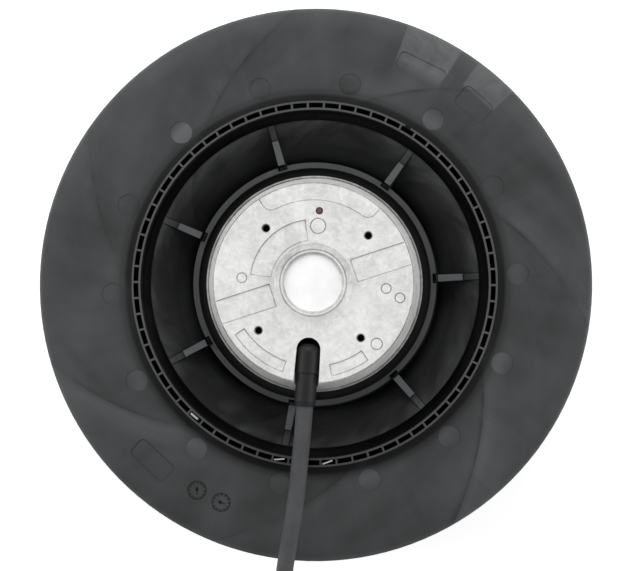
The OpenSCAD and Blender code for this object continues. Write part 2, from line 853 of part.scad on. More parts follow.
module cage_bar_pattern(z, h) {
  for (k = [0:cage_bars - 1])
    rotate([0, 0, k * 360 / cage_bars])
      translate([cage_pitch_r, 0, z]) cylinder(r = cage_bar_d / 2, h = h, $fn = 24);
}

module rotor_cage() {
  color("lightgray") {
    union() {
      ring(pot_inner_r - cage_ring_margin, core_in_r + cage_ring_margin, core_top_z, cage_ring_h);
      ring(pot_inner_r - cage_ring_margin, core_in_r + cage_ring_margin, core_z - cage_ring_h,
        cage_ring_h);
      cage_bar_pattern(core_z - cage_ring_h / 2, core_h + cage_ring_h);
    }
  }
}

module hub_insert() {
  color("gray") ring(collar_in_r, rotor_r, insert_z, insert_h);
}

module stator_stack() {
  color("slategray")
    difference() {
      ring(stack_r, tube_r, core_z, core_h);
      at_each_slot(core_z - over) {
        cylinder(r = slot_bore_r, h = core_h + 2 * over, $fn = 32);
        translate([0, -slot_mouth_w / 2, 0]) cube([stack_r, slot_mouth_w, core_h + 2 * over]);
      }
    }
}

module at_each_slot(z) {
  for (k = [0:slot_count - 1])
    rotate([0, 0, k * 360 / slot_count]) translate([slot_pitch_r, 0, z]) children();
}

module insulator() {
  difference() {
    union() {
      ring(insulator_out_r, tube_r, 0, insulator_t);
      ring(insulator_lip_r, tube_r, 0, insulator_lip_h);
    }
    at_each_slot(-over) cylinder(r = coil_side_r, h = insulator_t + 2 * over, $fn = 32);
  }
}

module upper_insulator() {
  color("ivory") translate([0, 0, core_top_z]) insulator();
}

module lower_insulator() {
  color("ivory") translate([0, 0, core_z]) mirror([0, 0, 1]) insulator();
}

// A winding head is a ring of wire with rounded edges
module winding_head(z) {
  rotate_extrude()
    translate([head_mid_r, z + head_h / 2])
      rounded_tile(head_out_r - head_in_r, head_h, head_round);
}

module windings() {
  color("peru")
    union() {
      winding_head(core_top_z + insulator_t);
      winding_head(core_z - insulator_t - head_h);
      at_each_slot(core_z - insulator_t - head_h / 2)
        cylinder(r = coil_side_r, h = core_h + 2 * insulator_t + head_h, $fn = 32);
    }
}

module thermal_protector() {
  color("whitesmoke")
    rotate([0, 0, bar_panel_angle])
      translate([head_mid_r, 0, core_top_z + insulator_t + head_h])
        rotate([0, 0, 90])
          linear_extrude(height = protector_h) rounded_tile(protector_l, protector_w, protector_round);
}

// The conductors inside the motor rise from the winding head into the sleeve
module inner_leads() {
  head_top_z = core_top_z + insulator_t + head_h;
  color("dimgray")
    translate([0, -slot_in_r - lead_r / 2, head_top_z])
      cylinder(r = lead_r, h = cable_z - sleeve_grip_r - head_top_z, $fn = 32);
}

// The rubber sleeve fills the slot in the flange and runs out along the cable
module cable_sleeve() {
  tip_r = (sleeve_r + cable_r) / 2;
  color([0.09, 0.09, 0.09])
    translate([0, 0, cable_z])
      rotate([90, 0, 0])
        rotate_extrude()
          polygon([
            [0, sleeve_in_r],
            [sleeve_nose_r, sleeve_in_r],
            [(sleeve_nose_r + sleeve_grip_r) / 2 + rim_lip, slot_in_r - sleeve_nose_l / 2],
            [sleeve_grip_r, slot_in_r + rim_lip],
            [sleeve_grip_r, sleeve_step_r],
            [sleeve_r, sleeve_step_r + rim_lip],
            [sleeve_r, sleeve_end_r - sleeve_tip_l],
            [tip_r, sleeve_end_r],
            [0, sleeve_end_r]
          ]);
}

// Section of the mounting flange with its bearing tube
module flange_section() {
  slope_foot_r = flange_base_r - rim_line_w - rim_groove_w;
  groove_top_z = flange_base_z + rim_line_h;
  polygon([
    [bearing_r, tube_end_z],
    [bearing_r, lower_shoulder_z],
    [bearing_r - bearing_shoulder, lower_shoulder_z],
    [bearing_r - bearing_shoulder, upper_bearing_z],
    [bearing_r, upper_bearing_z],
    [bearing_r, cap_seat_z],
    [cap_r, cap_seat_z],
    [cap_r, boss_top_z - boss_lead],
    [cap_r + boss_lead, boss_top_z],
    [cap_r + boss_rim_w, boss_top_z],
    [cap_r + boss_rim_w, boss_top_z - boss_step],
    [boss_foot_r, face_z],
    [flange_face_r - flange_edge_r, face_z],
    [flange_face_r, face_z - flange_edge_r],
    [flange_face_r, face_z - edge_line_depth],
    [flange_face_r + edge_line_w, face_z - edge_line_depth],
    [flange_face_r + edge_line_w, face_z - edge_line_depth / 2],
    [slope_foot_r, groove_top_z],
    [slope_foot_r, groove_top_z - rim_groove_depth],
    [slope_foot_r + rim_groove_w, groove_top_z - rim_groove_depth],
    [slope_foot_r + rim_groove_w, groove_top_z],
    [flange_base_r, groove_top_z],
    [flange_base_r, flange_base_z],
    [seal_r, flange_base_z],
    [seal_r, seal_z],
    [slope_foot_r - skirt_t, seal_z],
    [slope_foot_r - skirt_t, flange_base_z],
    [flange_face_r - skirt_t, plate_z - skirt_t],
    [flange_face_r - 2 * skirt_t, plate_z],
    [tube_r + skirt_t, plate_z],
    [tube_r, plate_z - skirt_t],
    [tube_r, tube_end_z]
  ]);
}

// Outlines of the panels. The inset draws the same outline a little smaller.
module bar_panel(inset) {
  translate([face_panel_in_r + inset, inset - bar_panel_w / 2 - bar_panel_aside])
    square([flange_face_r + over - face_panel_in_r, bar_panel_w - 2 * inset]);
}

module sector_panel(p, inset) {
  turn = inset * 180 / (PI * p[0]);
  sector(p[0] + inset, p[1] - inset, p[2] + turn, p[3] - turn);
}

// The wide panel has rounded corners towards the hub and straight sides out to the edge
module top_panel(inset) {
  corner_place = top_panel_r + top_panel_corner;
  corner_turn = asin(top_panel_corner / corner_place);
  corner_r = top_panel_corner - inset;
  in_r = top_panel_r + inset;
  out_r = flange_face_r + over;
  from = top_panel_angles[0];
  to = top_panel_angles[1];
  polygon(concat(
    arc_points(0, 0, in_r, in_r, from + corner_turn, to - corner_turn, curve_steps),
    arc_points(corner_place * cos(to - corner_turn), corner_place * sin(to - corner_turn),
      corner_r, corner_r, to - corner_turn + 180, to + 90, small_steps),
    [[out_r * cos(to) + inset * sin(to), out_r * sin(to) - inset * cos(to)]],
    arc_points(0, 0, out_r + over, out_r + over, to - 1, from + 1, curve_steps),
    [[out_r * cos(from) - inset * sin(from), out_r * sin(from) + inset * cos(from)]],
    arc_points(corner_place * cos(from + corner_turn), corner_place * sin(from + corner_turn),
      corner_r, corner_r, from - 90, from + corner_turn - 180, small_steps)
  ));
}

module all_panels(inset) {
  for (turn = [0, 180]) rotate([0, 0, bar_panel_angle + turn]) bar_panel(inset);
  for (p = sector_panels) sector_panel(p, inset);
  top_panel(inset);
}

// Each panel is sunk a little into the mounting face, inside a fine groove
module face_panels() {
  translate([0, 0, face_z - panel_depth])
    linear_extrude(height = panel_depth + over) all_panels(0);
  translate([0, 0, face_z - line_depth]) {
    linear_extrude(height = line_depth)
      difference() {
        all_panels(0);
        all_panels(panel_line_w);
      }
    for (m = marks)
      rotate([0, 0, m[1]]) translate([m[0], 0, 0]) ring(m[2], m[2] - mark_line, 0, line_depth + over);
    rotate([0, 0, earth_angle])
      translate([earth_mark_place, 0, 0]) ring(earth_mark_r, earth_mark_r - mark_line, 0, line_depth + over);
  }
}

// A short nick crosses the rim of the flange
module rim_nick() {
  nick_in_r = flange_base_r - rim_line_w - rim_groove_w;
  rotate([0, 0, nick_angle])
    translate([nick_in_r, -nick_w / 2, flange_base_z + rim_line_h - rim_groove_depth])
      cube([flange_base_r + over - nick_in_r, nick_w, rim_groove_depth + over]);
}

module cable_slot() {
  depth = face_z - cable_z;
  out_r = flange_base_r + over;
  translate([0, -slot_in_r, cable_z]) cylinder(r = slot_r, h = depth + boss_h, $fn = 48);
  translate([0, 0, cable_z])
    linear_extrude(height = depth + boss_h)
      polygon([
        [-slot_r, -slot_in_r],
        [slot_r, -slot_in_r],
        [slot_r + slot_flare / 2, -out_r],
        [-slot_r - slot_flare / 2, -out_r]
      ]);
  translate([0, -slot_in_r, cable_z])
    rotate([90, 0, 0]) cylinder(r = slot_r, h = out_r - slot_in_r, $fn = 48);
}

module at_each_bolt() {
  for (k = [0:3]) rotate([0, 0, 45 + 90 * k]) translate([bolt_pcd / 2, 0, 0]) children();
}

module stator_flange() {
  color("gainsboro")
    difference() {
      union() {
        rotate_extrude(convexity = 8) flange_section();
        at_each_bolt()
          translate([0, 0, plate_z - screw_boss_h])
            cylinder(r = screw_boss_r, h = screw_boss_h + flange_t / 2, $fn = 48);
      }
      at_each_bolt()
        translate([0, 0, plate_z - screw_boss_h - over])
          cylinder(r = bolt_hole_d / 2, h = screw_boss_h + flange_t + 2 * over, $fn = 32);
      rotate([0, 0, earth_angle])
        translate([earth_place, 0, plate_z])
          cylinder(r1 = earth_r - earth_draft, r2 = earth_r, h = flange_t, $fn = 32);
      face_panels();
      rim_nick();
      cable_slot();
    }
}

module closing_cap() {
  color("white")
    translate([0, 0, cap_seat_z]) cylinder(r = cap_r, h = cap_t);
}

// The pin fills the drafted hole up to a little below the face
module earth_pin() {
  pin_h = flange_t - earth_recess;
  pin_top_r = earth_r - earth_draft * earth_recess / flange_t;
  color("indianred")
    rotate([0, 0, earth_angle])
      translate([earth_place, 0, plate_z])
        cylinder(r1 = earth_r - earth_draft, r2 = pin_top_r, h = pin_h, $fn = 32);
}

module cable() {
  color([0.2, 0.2, 0.2]) tube_along(cable_route, cable_r, 12, [1, 0, 0]);
}

module cable_tail() {
  color([0.2, 0.2, 0.2]) tube_along(tail_route, cable_r, 12, [0, 0, 1]);
}

// The outer shape of the coil's turns, which lie on each other
module cable_coil() {
  color([0.2, 0.2, 0.2])
    translate([coil_x, coil_y, 0])
      rotate_extrude()
        translate([coil_r, (tie_t + coil_top_z) / 2])
          rounded_tile(cable_d, coil_top_z - tie_t, cable_r * 0.9);
}

module coil_tie() {
  color([0.1, 0.1, 0.1])
    translate([coil_x, coil_y, 0])
      rotate([0, 0, tie_angle])
        translate([coil_r, 0, 0])
          difference() {
            translate([-tie_in_r - tie_t, -tie_w / 2, 0])
              cube([2 * tie_in_r + 2 * tie_t, tie_w, coil_top_z + tie_t]);
            translate([-tie_in_r, -tie_w / 2 - over, tie_t])
              cube([2 * tie_in_r, tie_w + 2 * over, coil_top_z - tie_t]);
          }
}

// The conductors leave the end of the sheath in two pairs, the upper pair above the lower.
// Each starts where its slanted end just meets the end of the sheath.
function fan_turn(high) = high > 0 ? high_fan_turn : low_fan_turn;
function fan_dip(high) = high > 0 ? high_fan_dip : low_fan_dip;
function fan_start(high) = conductor_d / 2 * sin(acos(cos(fan_turn(high)) * cos(fan_dip(high))));

module at_each_conductor() {
  tail_end = tail_route[len(tail_route) - 1];
  spread = conductor_d * 0.58;
  for (side = [-1, 1], high = [-1, 1])
    translate(tail_end)
      rotate([0, 0, fan_heading])
        translate([fan_start(high), side * spread, high * spread])
          rotate([0, fan_dip(high), side * fan_turn(high)])
            children();
}

module conductor_ends() {
  color("saddlebrown")
    at_each_conductor() rotate([0, 90, 0]) cylinder(r = conductor_d / 2, h = conductor_l, $fn = 16);
}

module ferrules() {
  color("silver")
    at_each_conductor()
      translate([conductor_l, 0, 0])
        rotate([0, 90, 0]) {
          cylinder(r = ferrule_r, h = ferrule_l / 4, $fn = 24);
          cylinder(r = ferrule_wire_r, h = ferrule_l, $fn = 24);
        }
}

module blade_1() { blade(0); }
module blade_2() { blade(1); }
module blade_3() { blade(2); }
module blade_4() { blade(3); }
module blade_5() { blade(4); }
module blade_6() { blade(5); }
module blade_7() { blade(6); }

stator_flange();
closing_cap();
earth_pin();
cable_sleeve();
inner_leads();
upper_bearing_outer();
upper_bearing_inner();
upper_bearing_balls();
upper_bearing_cage();
lower_bearing_outer();
lower_bearing_inner();
lower_bearing_balls();
lower_bearing_cage();
preload_washer();
retaining_ring();
shaft();
rotor_bush();
rotor_pot();
rotor_core();
rotor_cage();
hub_insert();
stator_stack();
upper_insulator();
lower_insulator();
windings();
thermal_protector();
impeller_backplate();
shroud();
blade_1();
blade_2();
blade_3();
blade_4();
blade_5();
blade_6();
blade_7();
balance_clips();
cable();
cable_coil();
cable_tail();
coil_tie();
conductor_ends();
ferrules();
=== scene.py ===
import bpy
import bmesh
import json
import math
from mathutils import Matrix, Vector


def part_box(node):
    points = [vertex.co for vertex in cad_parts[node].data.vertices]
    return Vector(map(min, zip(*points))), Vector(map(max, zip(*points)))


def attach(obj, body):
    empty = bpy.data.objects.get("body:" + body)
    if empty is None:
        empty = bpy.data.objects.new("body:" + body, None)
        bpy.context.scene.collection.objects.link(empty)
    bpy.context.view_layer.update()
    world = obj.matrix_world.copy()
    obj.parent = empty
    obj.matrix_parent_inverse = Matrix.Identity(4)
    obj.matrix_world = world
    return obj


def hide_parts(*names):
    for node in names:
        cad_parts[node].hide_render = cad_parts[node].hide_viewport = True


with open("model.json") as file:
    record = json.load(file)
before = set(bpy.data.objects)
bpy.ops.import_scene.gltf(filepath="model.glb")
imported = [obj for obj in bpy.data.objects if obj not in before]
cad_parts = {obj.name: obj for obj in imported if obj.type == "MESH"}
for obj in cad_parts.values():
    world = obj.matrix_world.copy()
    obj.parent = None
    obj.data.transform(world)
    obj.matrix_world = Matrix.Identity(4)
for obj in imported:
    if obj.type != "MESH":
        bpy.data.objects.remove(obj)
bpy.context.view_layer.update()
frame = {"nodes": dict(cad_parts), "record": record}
scene = bpy.context.scene
nodes = frame["nodes"]
TURN = 2 * math.pi


def measured(node, side):
    """Lowest (0) or highest (1) corner of a CAD node, to the nearest micrometre."""
    return [round(c, 6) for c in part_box(node)[side]]


# The back disc, in metres: its corner from the frame, and the rest as the part's source has it
DISC_R = measured("impeller_backplate", 1)[0]
RING_TOP = measured("impeller_backplate", 1)[2]
DISC_TOP = RING_TOP - 0.006
COLLAR_TOP = DISC_TOP + 0.0005
LAND_TOP = DISC_TOP + 0.0024
COLLAR_R = 0.0494
BOWL_RIM_R = 0.0666
RING_R = 0.074
BLADE_COUNT = 7
RIB_COUNT = 7
RIB_FIRST = 6.8

# The mounting flange, in metres
FACE_Z = measured("closing_cap", 0)[2]
BOLT_CIRCLE_R = 0.029
BOLT_HOLE_R = 0.00165
HOLE_ASIDE = BOLT_CIRCLE_R * math.cos(math.radians(45))
PIN_R = 0.0015
PIN_OUT = 0.029
PIN_ANGLE = math.radians(89.4)
PIN_PLACE = (PIN_OUT * math.cos(PIN_ANGLE), PIN_OUT * math.sin(PIN_ANGLE))


# Camera

# How far the camera is turned about the spin axis, in degrees
CAMERA_TURN = 4.2
# How far it leans to its right and up from straight above, as slopes
LEAN_RIGHT = 0.0349
LEAN_UP = -0.0258
# Where its axis meets the level of the disc, and how far it stands from there, in metres
AIM_RIGHT = 0.00217
AIM_UP = -0.00064
CAMERA_FAR = 0.85
LENS_MM = 117.65
SENSOR_MM = 36


def place_camera():
    turn = math.radians(CAMERA_TURN)
    right = Vector((math.cos(turn), math.sin(turn), 0))
    up = Vector((-math.sin(turn), math.cos(turn), 0))
    back = (LEAN_RIGHT * right + LEAN_UP * up + Vector((0, 0, 1))).normalized()
    up = (up - up.dot(back) * back).normalized()
    right = up.cross(back)
    spot = Vector((0, 0, DISC_TOP)) + AIM_RIGHT * right + AIM_UP * up + CAMERA_FAR * back
    data = bpy.data.cameras.new("camera")
    data.sensor_fit = "HORIZONTAL"
    data.sensor_width = SENSOR_MM
    data.lens = LENS_MM
    data.clip_start = 0.01
    data.clip_end = 20
    cam = bpy.data.objects.new("camera", data)
    scene.collection.objects.link(cam)
    axes = Matrix((right, up, back)).transposed().to_4x4()
    cam.matrix_world = Matrix.Translation(spot) @ axes
    scene.camera = cam


place_camera()


# Material helpers

class Shader:
    """A procedural material, laid out in the frame's own metres."""

    def __init__(self, name, colour, roughness, metallic=0.0, specular=0.5):
        self.mat = bpy.data.materials.new(name)
        self.mat.use_nodes = True
        self.tree = self.mat.node_tree
        self.bsdf = self.tree.nodes["Principled BSDF"]
        self.bsdf.inputs["Base Color"].default_value = (*colour, 1)
        self.bsdf.inputs["Roughness"].default_value = roughness
        self.bsdf.inputs["Metallic"].default_value = metallic
        self.bsdf.inputs["Specular IOR Level"].default_value = specular
        self.height = None
        self.place = self.tree.nodes.new("ShaderNodeTexCoord").outputs["Object"]

    def node(self, kind, **values):
        made = self.tree.nodes.new(kind)
        for key, value in values.items():
            setattr(made, key, value)
        return made

    def link(self, out, into):
        self.tree.links.new(out, into)

    def noise(self, scale, detail=3.0, rough=0.55, stretch=None, distort=0.0, place=None):
        made = self.node("ShaderNodeTexNoise")
        made.inputs["Scale"].default_value = scale
        made.inputs["Detail"].default_value = detail
        made.inputs["Roughness"].default_value = rough
        made.inputs["Distortion"].default_value = distort
        place = place or self.place
        if stretch:
            moved = self.node("ShaderNodeMapping")
            moved.inputs["Scale"].default_value = stretch
            self.link(place, moved.inputs["Vector"])
            place = moved.outputs["Vector"]
        self.link(place, made.inputs["Vector"])
        return made.outputs["Fac"]

    def spread(self, value, low, high, out_low, out_high):
        """A value that runs between two others, turned into one that runs between two more."""
        made = self.node("ShaderNodeMapRange")
        made.inputs["From Min"].default_value = low
        made.inputs["From Max"].default_value = high
        made.inputs["To Min"].default_value = out_low
        made.inputs["To Max"].default_value = out_high
        self.link(value, made.inputs["Value"])
        return made.outputs["Result"]

    def reckon(self, how, a, b=0.0):
        """One step of arithmetic with a socket and a number, or with two sockets."""
        made = self.node("ShaderNodeMath", operation=how)
        self.link(a, made.inputs[0])
        if isinstance(b, (int, float)):
            made.inputs[1].default_value = b
        else:
            self.link(b, made.inputs[1])
        return made.outputs[0]

    def add(self, a, b):
        return self.reckon("ADD", a, b)

    def less(self, a, b):
        return self.reckon("SUBTRACT", a, b)

    def times(self, a, b):
        return self.reckon("MULTIPLY", a, b)

    def most(self, a, b):
        return self.reckon("MAXIMUM", a, b)

    def wrap(self, a, length):
        return self.reckon("FLOORED_MODULO", a, length)

    def size(self, a):
        return self.reckon("ABSOLUTE", a)

    def sine(self, a):
        return self.reckon("SINE", a)

    def cosine(self, a):
        return self.reckon("COSINE", a)

    def hypotenuse(self, a, b):
        return self.reckon("SQRT", self.add(self.times(a, a), self.times(b, b)))

    def above(self, value, edge):
        """One past an edge, zero before it."""
        return self.reckon("GREATER_THAN", value, edge)

    def below(self, value, edge):
        """One before an edge, zero past it."""
        return self.reckon("LESS_THAN", value, edge)

    def ramp(self, value, stops, kind="LINEAR"):
        """A colour by a value from 0 to 1, from stops that each have a place and a colour."""
        made = self.node("ShaderNodeValToRGB")
        made.color_ramp.interpolation = kind
        marks = made.color_ramp.elements
        for mark, (place, colour) in zip(marks, (stops[0], stops[-1])):
            mark.position = place
            mark.color = (*colour, 1)
        for place, colour in stops[1:-1]:
            marks.new(place).color = (*colour, 1)
        self.link(value, made.inputs["Fac"])
        return made.outputs["Color"]

    def tint(self, share, dark, bright):
        """Colour between two shades by a value from 0 to 1."""
        colour = self.ramp(share, [(0, dark), (1, bright)])
        self.link(colour, self.bsdf.inputs["Base Color"])

    def gloss(self, value):
        self.link(value, self.bsdf.inputs["Roughness"])

    def relief(self, value, depth, strength=1.0):
        """Bump of a depth in metres, stacked on what is there."""
        made = self.node("ShaderNodeBump")
        made.inputs["Strength"].default_value = strength
        made.inputs["Distance"].default_value = depth
        self.link(value, made.inputs["Height"])
        if self.height is not None:
            self.link(self.height, made.inputs["Normal"])
        self.height = made.outputs["Normal"]
        self.link(self.height, self.bsdf.inputs["Normal"])

    def split_place(self):
        made = self.node("ShaderNodeSeparateXYZ")
        self.link(self.place, made.inputs["Vector"])
        return made.outputs

    def radius(self, x=0.0, y=0.0):
        """Distance from the spin axis, or from an upright line at another place."""
        flat = self.node("ShaderNodeVectorMath", operation="MULTIPLY")
        flat.inputs[1].default_value = (1, 1, 0)
        self.link(self.place, flat.inputs[0])
        gap = self.node("ShaderNodeVectorMath", operation="DISTANCE")
        gap.inputs[1].default_value = (x, y, 0)
        self.link(flat.outputs["Vector"], gap.inputs[0])
        return gap.outputs["Value"]

    def rings(self, value, pitch, depth):
        """Fine lines at an even pitch along a value, for turned, wound and stacked faces."""
        self.relief(self.sine(self.times(value, TURN / pitch)), depth)


def shade(colour, share):
    return tuple(min(1.0, c * share) for c in colour)


def grey_stops(places, whole):
    """Stops of a ramp from places on a scale whose end is given, each with its number."""
    return [(place / whole, (number,) * 3) for place, number in places]


def by_radius(m, r, reach, places):
    """A number for each distance from the spin axis, even between the places that it is given for."""
    return m.ramp(m.times(r, 1 / reach), grey_stops(places, reach))


def by_angle(m, angle, places):
    """A number for each stretch of the turn, each given by its start in degrees."""
    return m.ramp(m.times(angle, 1 / TURN), grey_stops(places, 360), "CONSTANT")


def spin_angle(m):
    """Angle about the spin axis in radians, from 0 to a full turn."""
    xyz = m.split_place()
    return m.wrap(m.reckon("ARCTAN2", xyz[1], xyz[0]), TURN)


def from_nearest(m, angle, count, first):
    """Angle from the nearest of some evenly spaced places, the first of them given in degrees."""
    pitch = TURN / count
    turned = m.wrap(m.add(angle, pitch / 2 - math.radians(first)), pitch)
    return m.add(turned, -pitch / 2)


def round_noise(m, angle, r, turns, length):
    """Noise that closes on itself round the axis, with streaks of a length along the radius."""
    place = m.node("ShaderNodeCombineXYZ")
    m.link(m.times(m.cosine(angle), turns), place.inputs[0])
    m.link(m.times(m.sine(angle), turns), place.inputs[1])
    m.link(m.times(r, 1 / length), place.inputs[2])
    return m.noise(1, distort=0.4, place=place.outputs["Vector"])


# The back disc's material. A brightness is a share, from 0 for its darkest nylon to 1.

NYLON = (0.05, 0.0515, 0.053)
# The radius up to which the disc's brightness is laid out
DISC_REACH = 0.12
# Brightness by distance from the spin axis, with painted shade and painted highlights on the disc's
# faces
DISC_SHADES = [
    # The collar's inner side, in painted shade
    (0.0, 0.02), (0.0492, 0.02),
    # The bowl, with painted light at its foot and painted shade across its middle
    (0.0500, 0.62), (0.0535, 0.34), (0.0565, 0.07), (0.0610, 0.03), (0.0640, 0.07), (0.0660, 0.14),
    # The groove, the pockets and the foot of the ring's fillet, all in painted shade
    (0.0668, 0.0), (0.0766, 0.0),
    # The fillet rising out of painted shade, the flat, and the rounded edge with a painted highlight
    (0.0783, 0.26), (0.0805, 0.41), (0.1108, 0.4), (0.1116, 0.56),
]
# A radius just outside the ends of the ribs' lands
LAND_REACH = 0.062
# The ejector pins' marks: the circle that they lie on, the radii between which a mark fades out,
# and how much brighter each one is than the disc, as painted sheen
EJECTOR_CIRCLE_R = RING_R + 0.0085
EJECTOR_FIRST = 7
EJECTOR_EDGE = (0.0043, 0.0046)
EJECTOR_SHADES = [0.14, 0.05, 0.3, -0.1, -0.05, 0.66, -0.02, 0.0, 0.2, 0.28, 0.1, 0.25, 0.2, 0.32]
# The blades' lines: the first one's angle in degrees where it crosses a circle, and how they
# lean back outside that circle and forward inside it, in radians by metres and by their square
BLADE_LINE_FIRST = 9.7
LEAN_CIRCLE_R = 0.095
LEAN_RATE = 15.7
LEAN_EASE = -87.0
# The brighter patches behind the two upper pads: middle and half width in degrees, the radii where
# each starts and is full, and its brightness
PAD_PATCHES = [
    (52.95, 4.75, 0.1002, 0.1018, 0.4),
    (68.1, 6.4, 0.093, 0.0985, 0.46),
]
# The radius from which the disc droops
DROOP_R = 0.104


def low_top(m, z, level, r, reach, brightness):
    """A brightness on what lies above a level and inside a radius."""
    return m.times(m.times(m.above(z, level), m.below(r, reach)), brightness)


def face_light_and_shade(m, r):
    """Brightness of each face of the back disc, by its distance from the axis and its height:
    the narrow tops of ring, collar and lands are smooth and get painted highlights, the ring's tops
    lighter on the side away from the cable, and the grooves and the bowl are rough and get painted
    shade."""
    xyz = m.split_place()
    shine = m.spread(xyz[1], -0.07, -0.02, 0.42, 0.62)
    ring = m.times(m.above(xyz[2], RING_TOP - 0.0002), shine)
    land = low_top(m, xyz[2], LAND_TOP - 0.00015, r, LAND_REACH, 0.66)
    collar = low_top(m, xyz[2], COLLAR_TOP - 0.00005, r, COLLAR_R + 0.0003, 0.4)
    tops = m.most(ring, m.most(land, collar))
    return m.most(tops, by_radius(m, r, DISC_REACH, DISC_SHADES))


def ejector_sheen(m, angle, r):
    """Painted sheen on the round marks of the mould's ejector pins, each stronger on its inner side.
    """
    count = len(EJECTOR_SHADES)
    pitch = 360 / count
    local = from_nearest(m, angle, count, EJECTOR_FIRST)
    across = m.times(r, m.sine(local))
    along = m.add(m.times(r, m.cosine(local)), -EJECTOR_CIRCLE_R)
    inside = m.spread(m.hypotenuse(across, along), EJECTOR_EDGE[1], EJECTOR_EDGE[0], 0, 1)
    # A ramp holds nothing below zero, so the shades are lifted for it and lowered again
    lift = 0.5
    starts = [(0, EJECTOR_SHADES[0] + lift)]
    for index in range(count):
        start = EJECTOR_FIRST + pitch * (index + 0.5)
        starts.append((start, EJECTOR_SHADES[(index + 1) % count] + lift))
    shades = m.add(by_angle(m, angle, starts), -lift)
    slant = m.spread(along, -0.0025, 0.0045, 1.4, 0.0)
    return m.times(m.times(inside, shades), slant)


def swept_angle(m, angle, r):
    """Angle measured from a line that leans back as the blades do."""
    out = m.add(r, -LEAN_CIRCLE_R)
    lean = m.add(m.times(out, LEAN_RATE), m.times(m.times(out, out), LEAN_EASE))
    return m.wrap(m.add(angle, lean), TURN)


def blade_line_shading(m, swept, patches):
    """Faint lines of painted shade where the blades behind the disc drew its face in, with painted
    light on one side.
    """
    local = from_nearest(m, swept, BLADE_COUNT, BLADE_LINE_FIRST)
    line = m.spread(m.size(local), 0.0, math.radians(2.2), -0.15, 0)
    lit = m.times(m.spread(local, 0.0, math.radians(12), 0.2, 0), m.above(local, 0.0))
    return m.times(m.add(line, lit), m.spread(patches, 0.4, 0.6, 0.15, 1.3))


def rib_edges(m, angle, r):
    """The outer ends of the hub's ribs lie low in the bowl: a painted highlight on the top between two
    lines of painted shade along its sides.
    """
    across = m.size(m.times(r, from_nearest(m, angle, RIB_COUNT, RIB_FIRST)))
    top = m.spread(across, 0.0011, 0.0013, 0.13, 0)
    side_shade = m.spread(m.size(m.add(across, -0.00145)), 0.0001, 0.0003, -0.2, 0)
    reach = m.times(m.above(r, 0.0605), m.below(r, BOWL_RIM_R - 0.0001))
    return m.times(m.add(top, side_shade), reach)


def pad_patch(m, angle, r, middle, half, inner, outer, brightness):
    """One brighter patch, which comes up sharply behind its pad and fades towards the disc's edge."""
    aside = m.size(m.add(angle, math.radians(-middle)))
    sector = m.spread(aside, math.radians(half), math.radians(half - 0.35), 0, 1)
    rise = m.spread(r, inner, outer, 0, brightness)
    fade = m.spread(r, outer, DISC_R, 0, 0.1)
    return m.times(sector, m.most(m.less(rise, fade), 0.0))


def brighter_behind_pads(m, angle, r):
    """Brighter patches behind the two upper pads, out to the edge of the disc."""
    pad_patch_list = [pad_patch(m, angle, r, *facts) for facts in PAD_PATCHES]
    streaks = m.spread(m.noise(130, 3, 0.6, distort=1.0), 0.36, 0.64, 0.75, 1.3)
    return m.times(m.add(*pad_patch_list), streaks)


def flat_drift(m, angle, swept, r, patches):
    """Streaks and marks on the flat of the disc, which are weaker on the ring's fillet."""
    rays = m.spread(round_noise(m, angle, r, 7, 0.06), 0.3, 0.7, -0.06, 0.06)
    sweeps = m.spread(round_noise(m, swept, r, 3, 0.03), 0.3, 0.7, -0.08, 0.08)
    wide = m.spread(round_noise(m, angle, r, 1.8, 0.03), 0.3, 0.7, -0.09, 0.09)
    streaks = m.add(m.add(m.add(rays, sweeps), wide), blade_line_shading(m, swept, patches))
    flat = m.spread(r, 0.0775, 0.083, 0.35, 1)
    return m.times(m.add(streaks, brighter_behind_pads(m, angle, r)), flat)


def bowl_painted_light(m, swept, r):
    """Painted light in a few broad lighter patches towards the bowl's rim, which is lighter on its
    left and right and darker in painted shade on the cable's side.
    """
    inside = m.times(m.spread(r, 0.057, 0.0665, 0, 1), m.below(r, BOWL_RIM_R + 0.0001))
    patch = m.spread(round_noise(m, swept, r, 3.2, 0.012), 0.4, 0.64, -0.1, 0.2)
    xyz = m.split_place()
    sides = m.spread(m.size(xyz[0]), 0.015, 0.055, -0.04, 0.03)
    near = m.spread(xyz[1], -0.05, 0.0, -0.03, 0)
    return m.times(inside, m.add(patch, m.add(sides, near)))


def lit_rim(m, r):
    """The disc's rim catches more light on the side away from the cable."""
    far_side = m.spread(m.split_place()[1], -0.02, 0.08, 0, 0.14)
    return m.times(m.spread(r, 0.104, 0.1105, 0, 1), far_side)


def disc_look(m, patches):
    """The back disc's brightness, with its painted light and shade, and how much duller than plain
    nylon its dark faces are.
    """
    r = m.radius()
    angle = spin_angle(m)
    swept = swept_angle(m, angle, r)
    faces = face_light_and_shade(m, r)
    drift = m.add(flat_drift(m, angle, swept, r, patches), bowl_painted_light(m, swept, r))
    drift = m.add(drift, lit_rim(m, r))
    marks = m.add(ejector_sheen(m, angle, r), rib_edges(m, angle, r))
    # The disc droops a little towards its edge
    out = m.most(m.add(r, -DROOP_R), 0.0)
    m.relief(m.times(m.times(out, out), -8.0), 1.0)
    return m.add(m.add(faces, drift), marks), m.spread(faces, 0.05, 0.3, 0.34, 0)


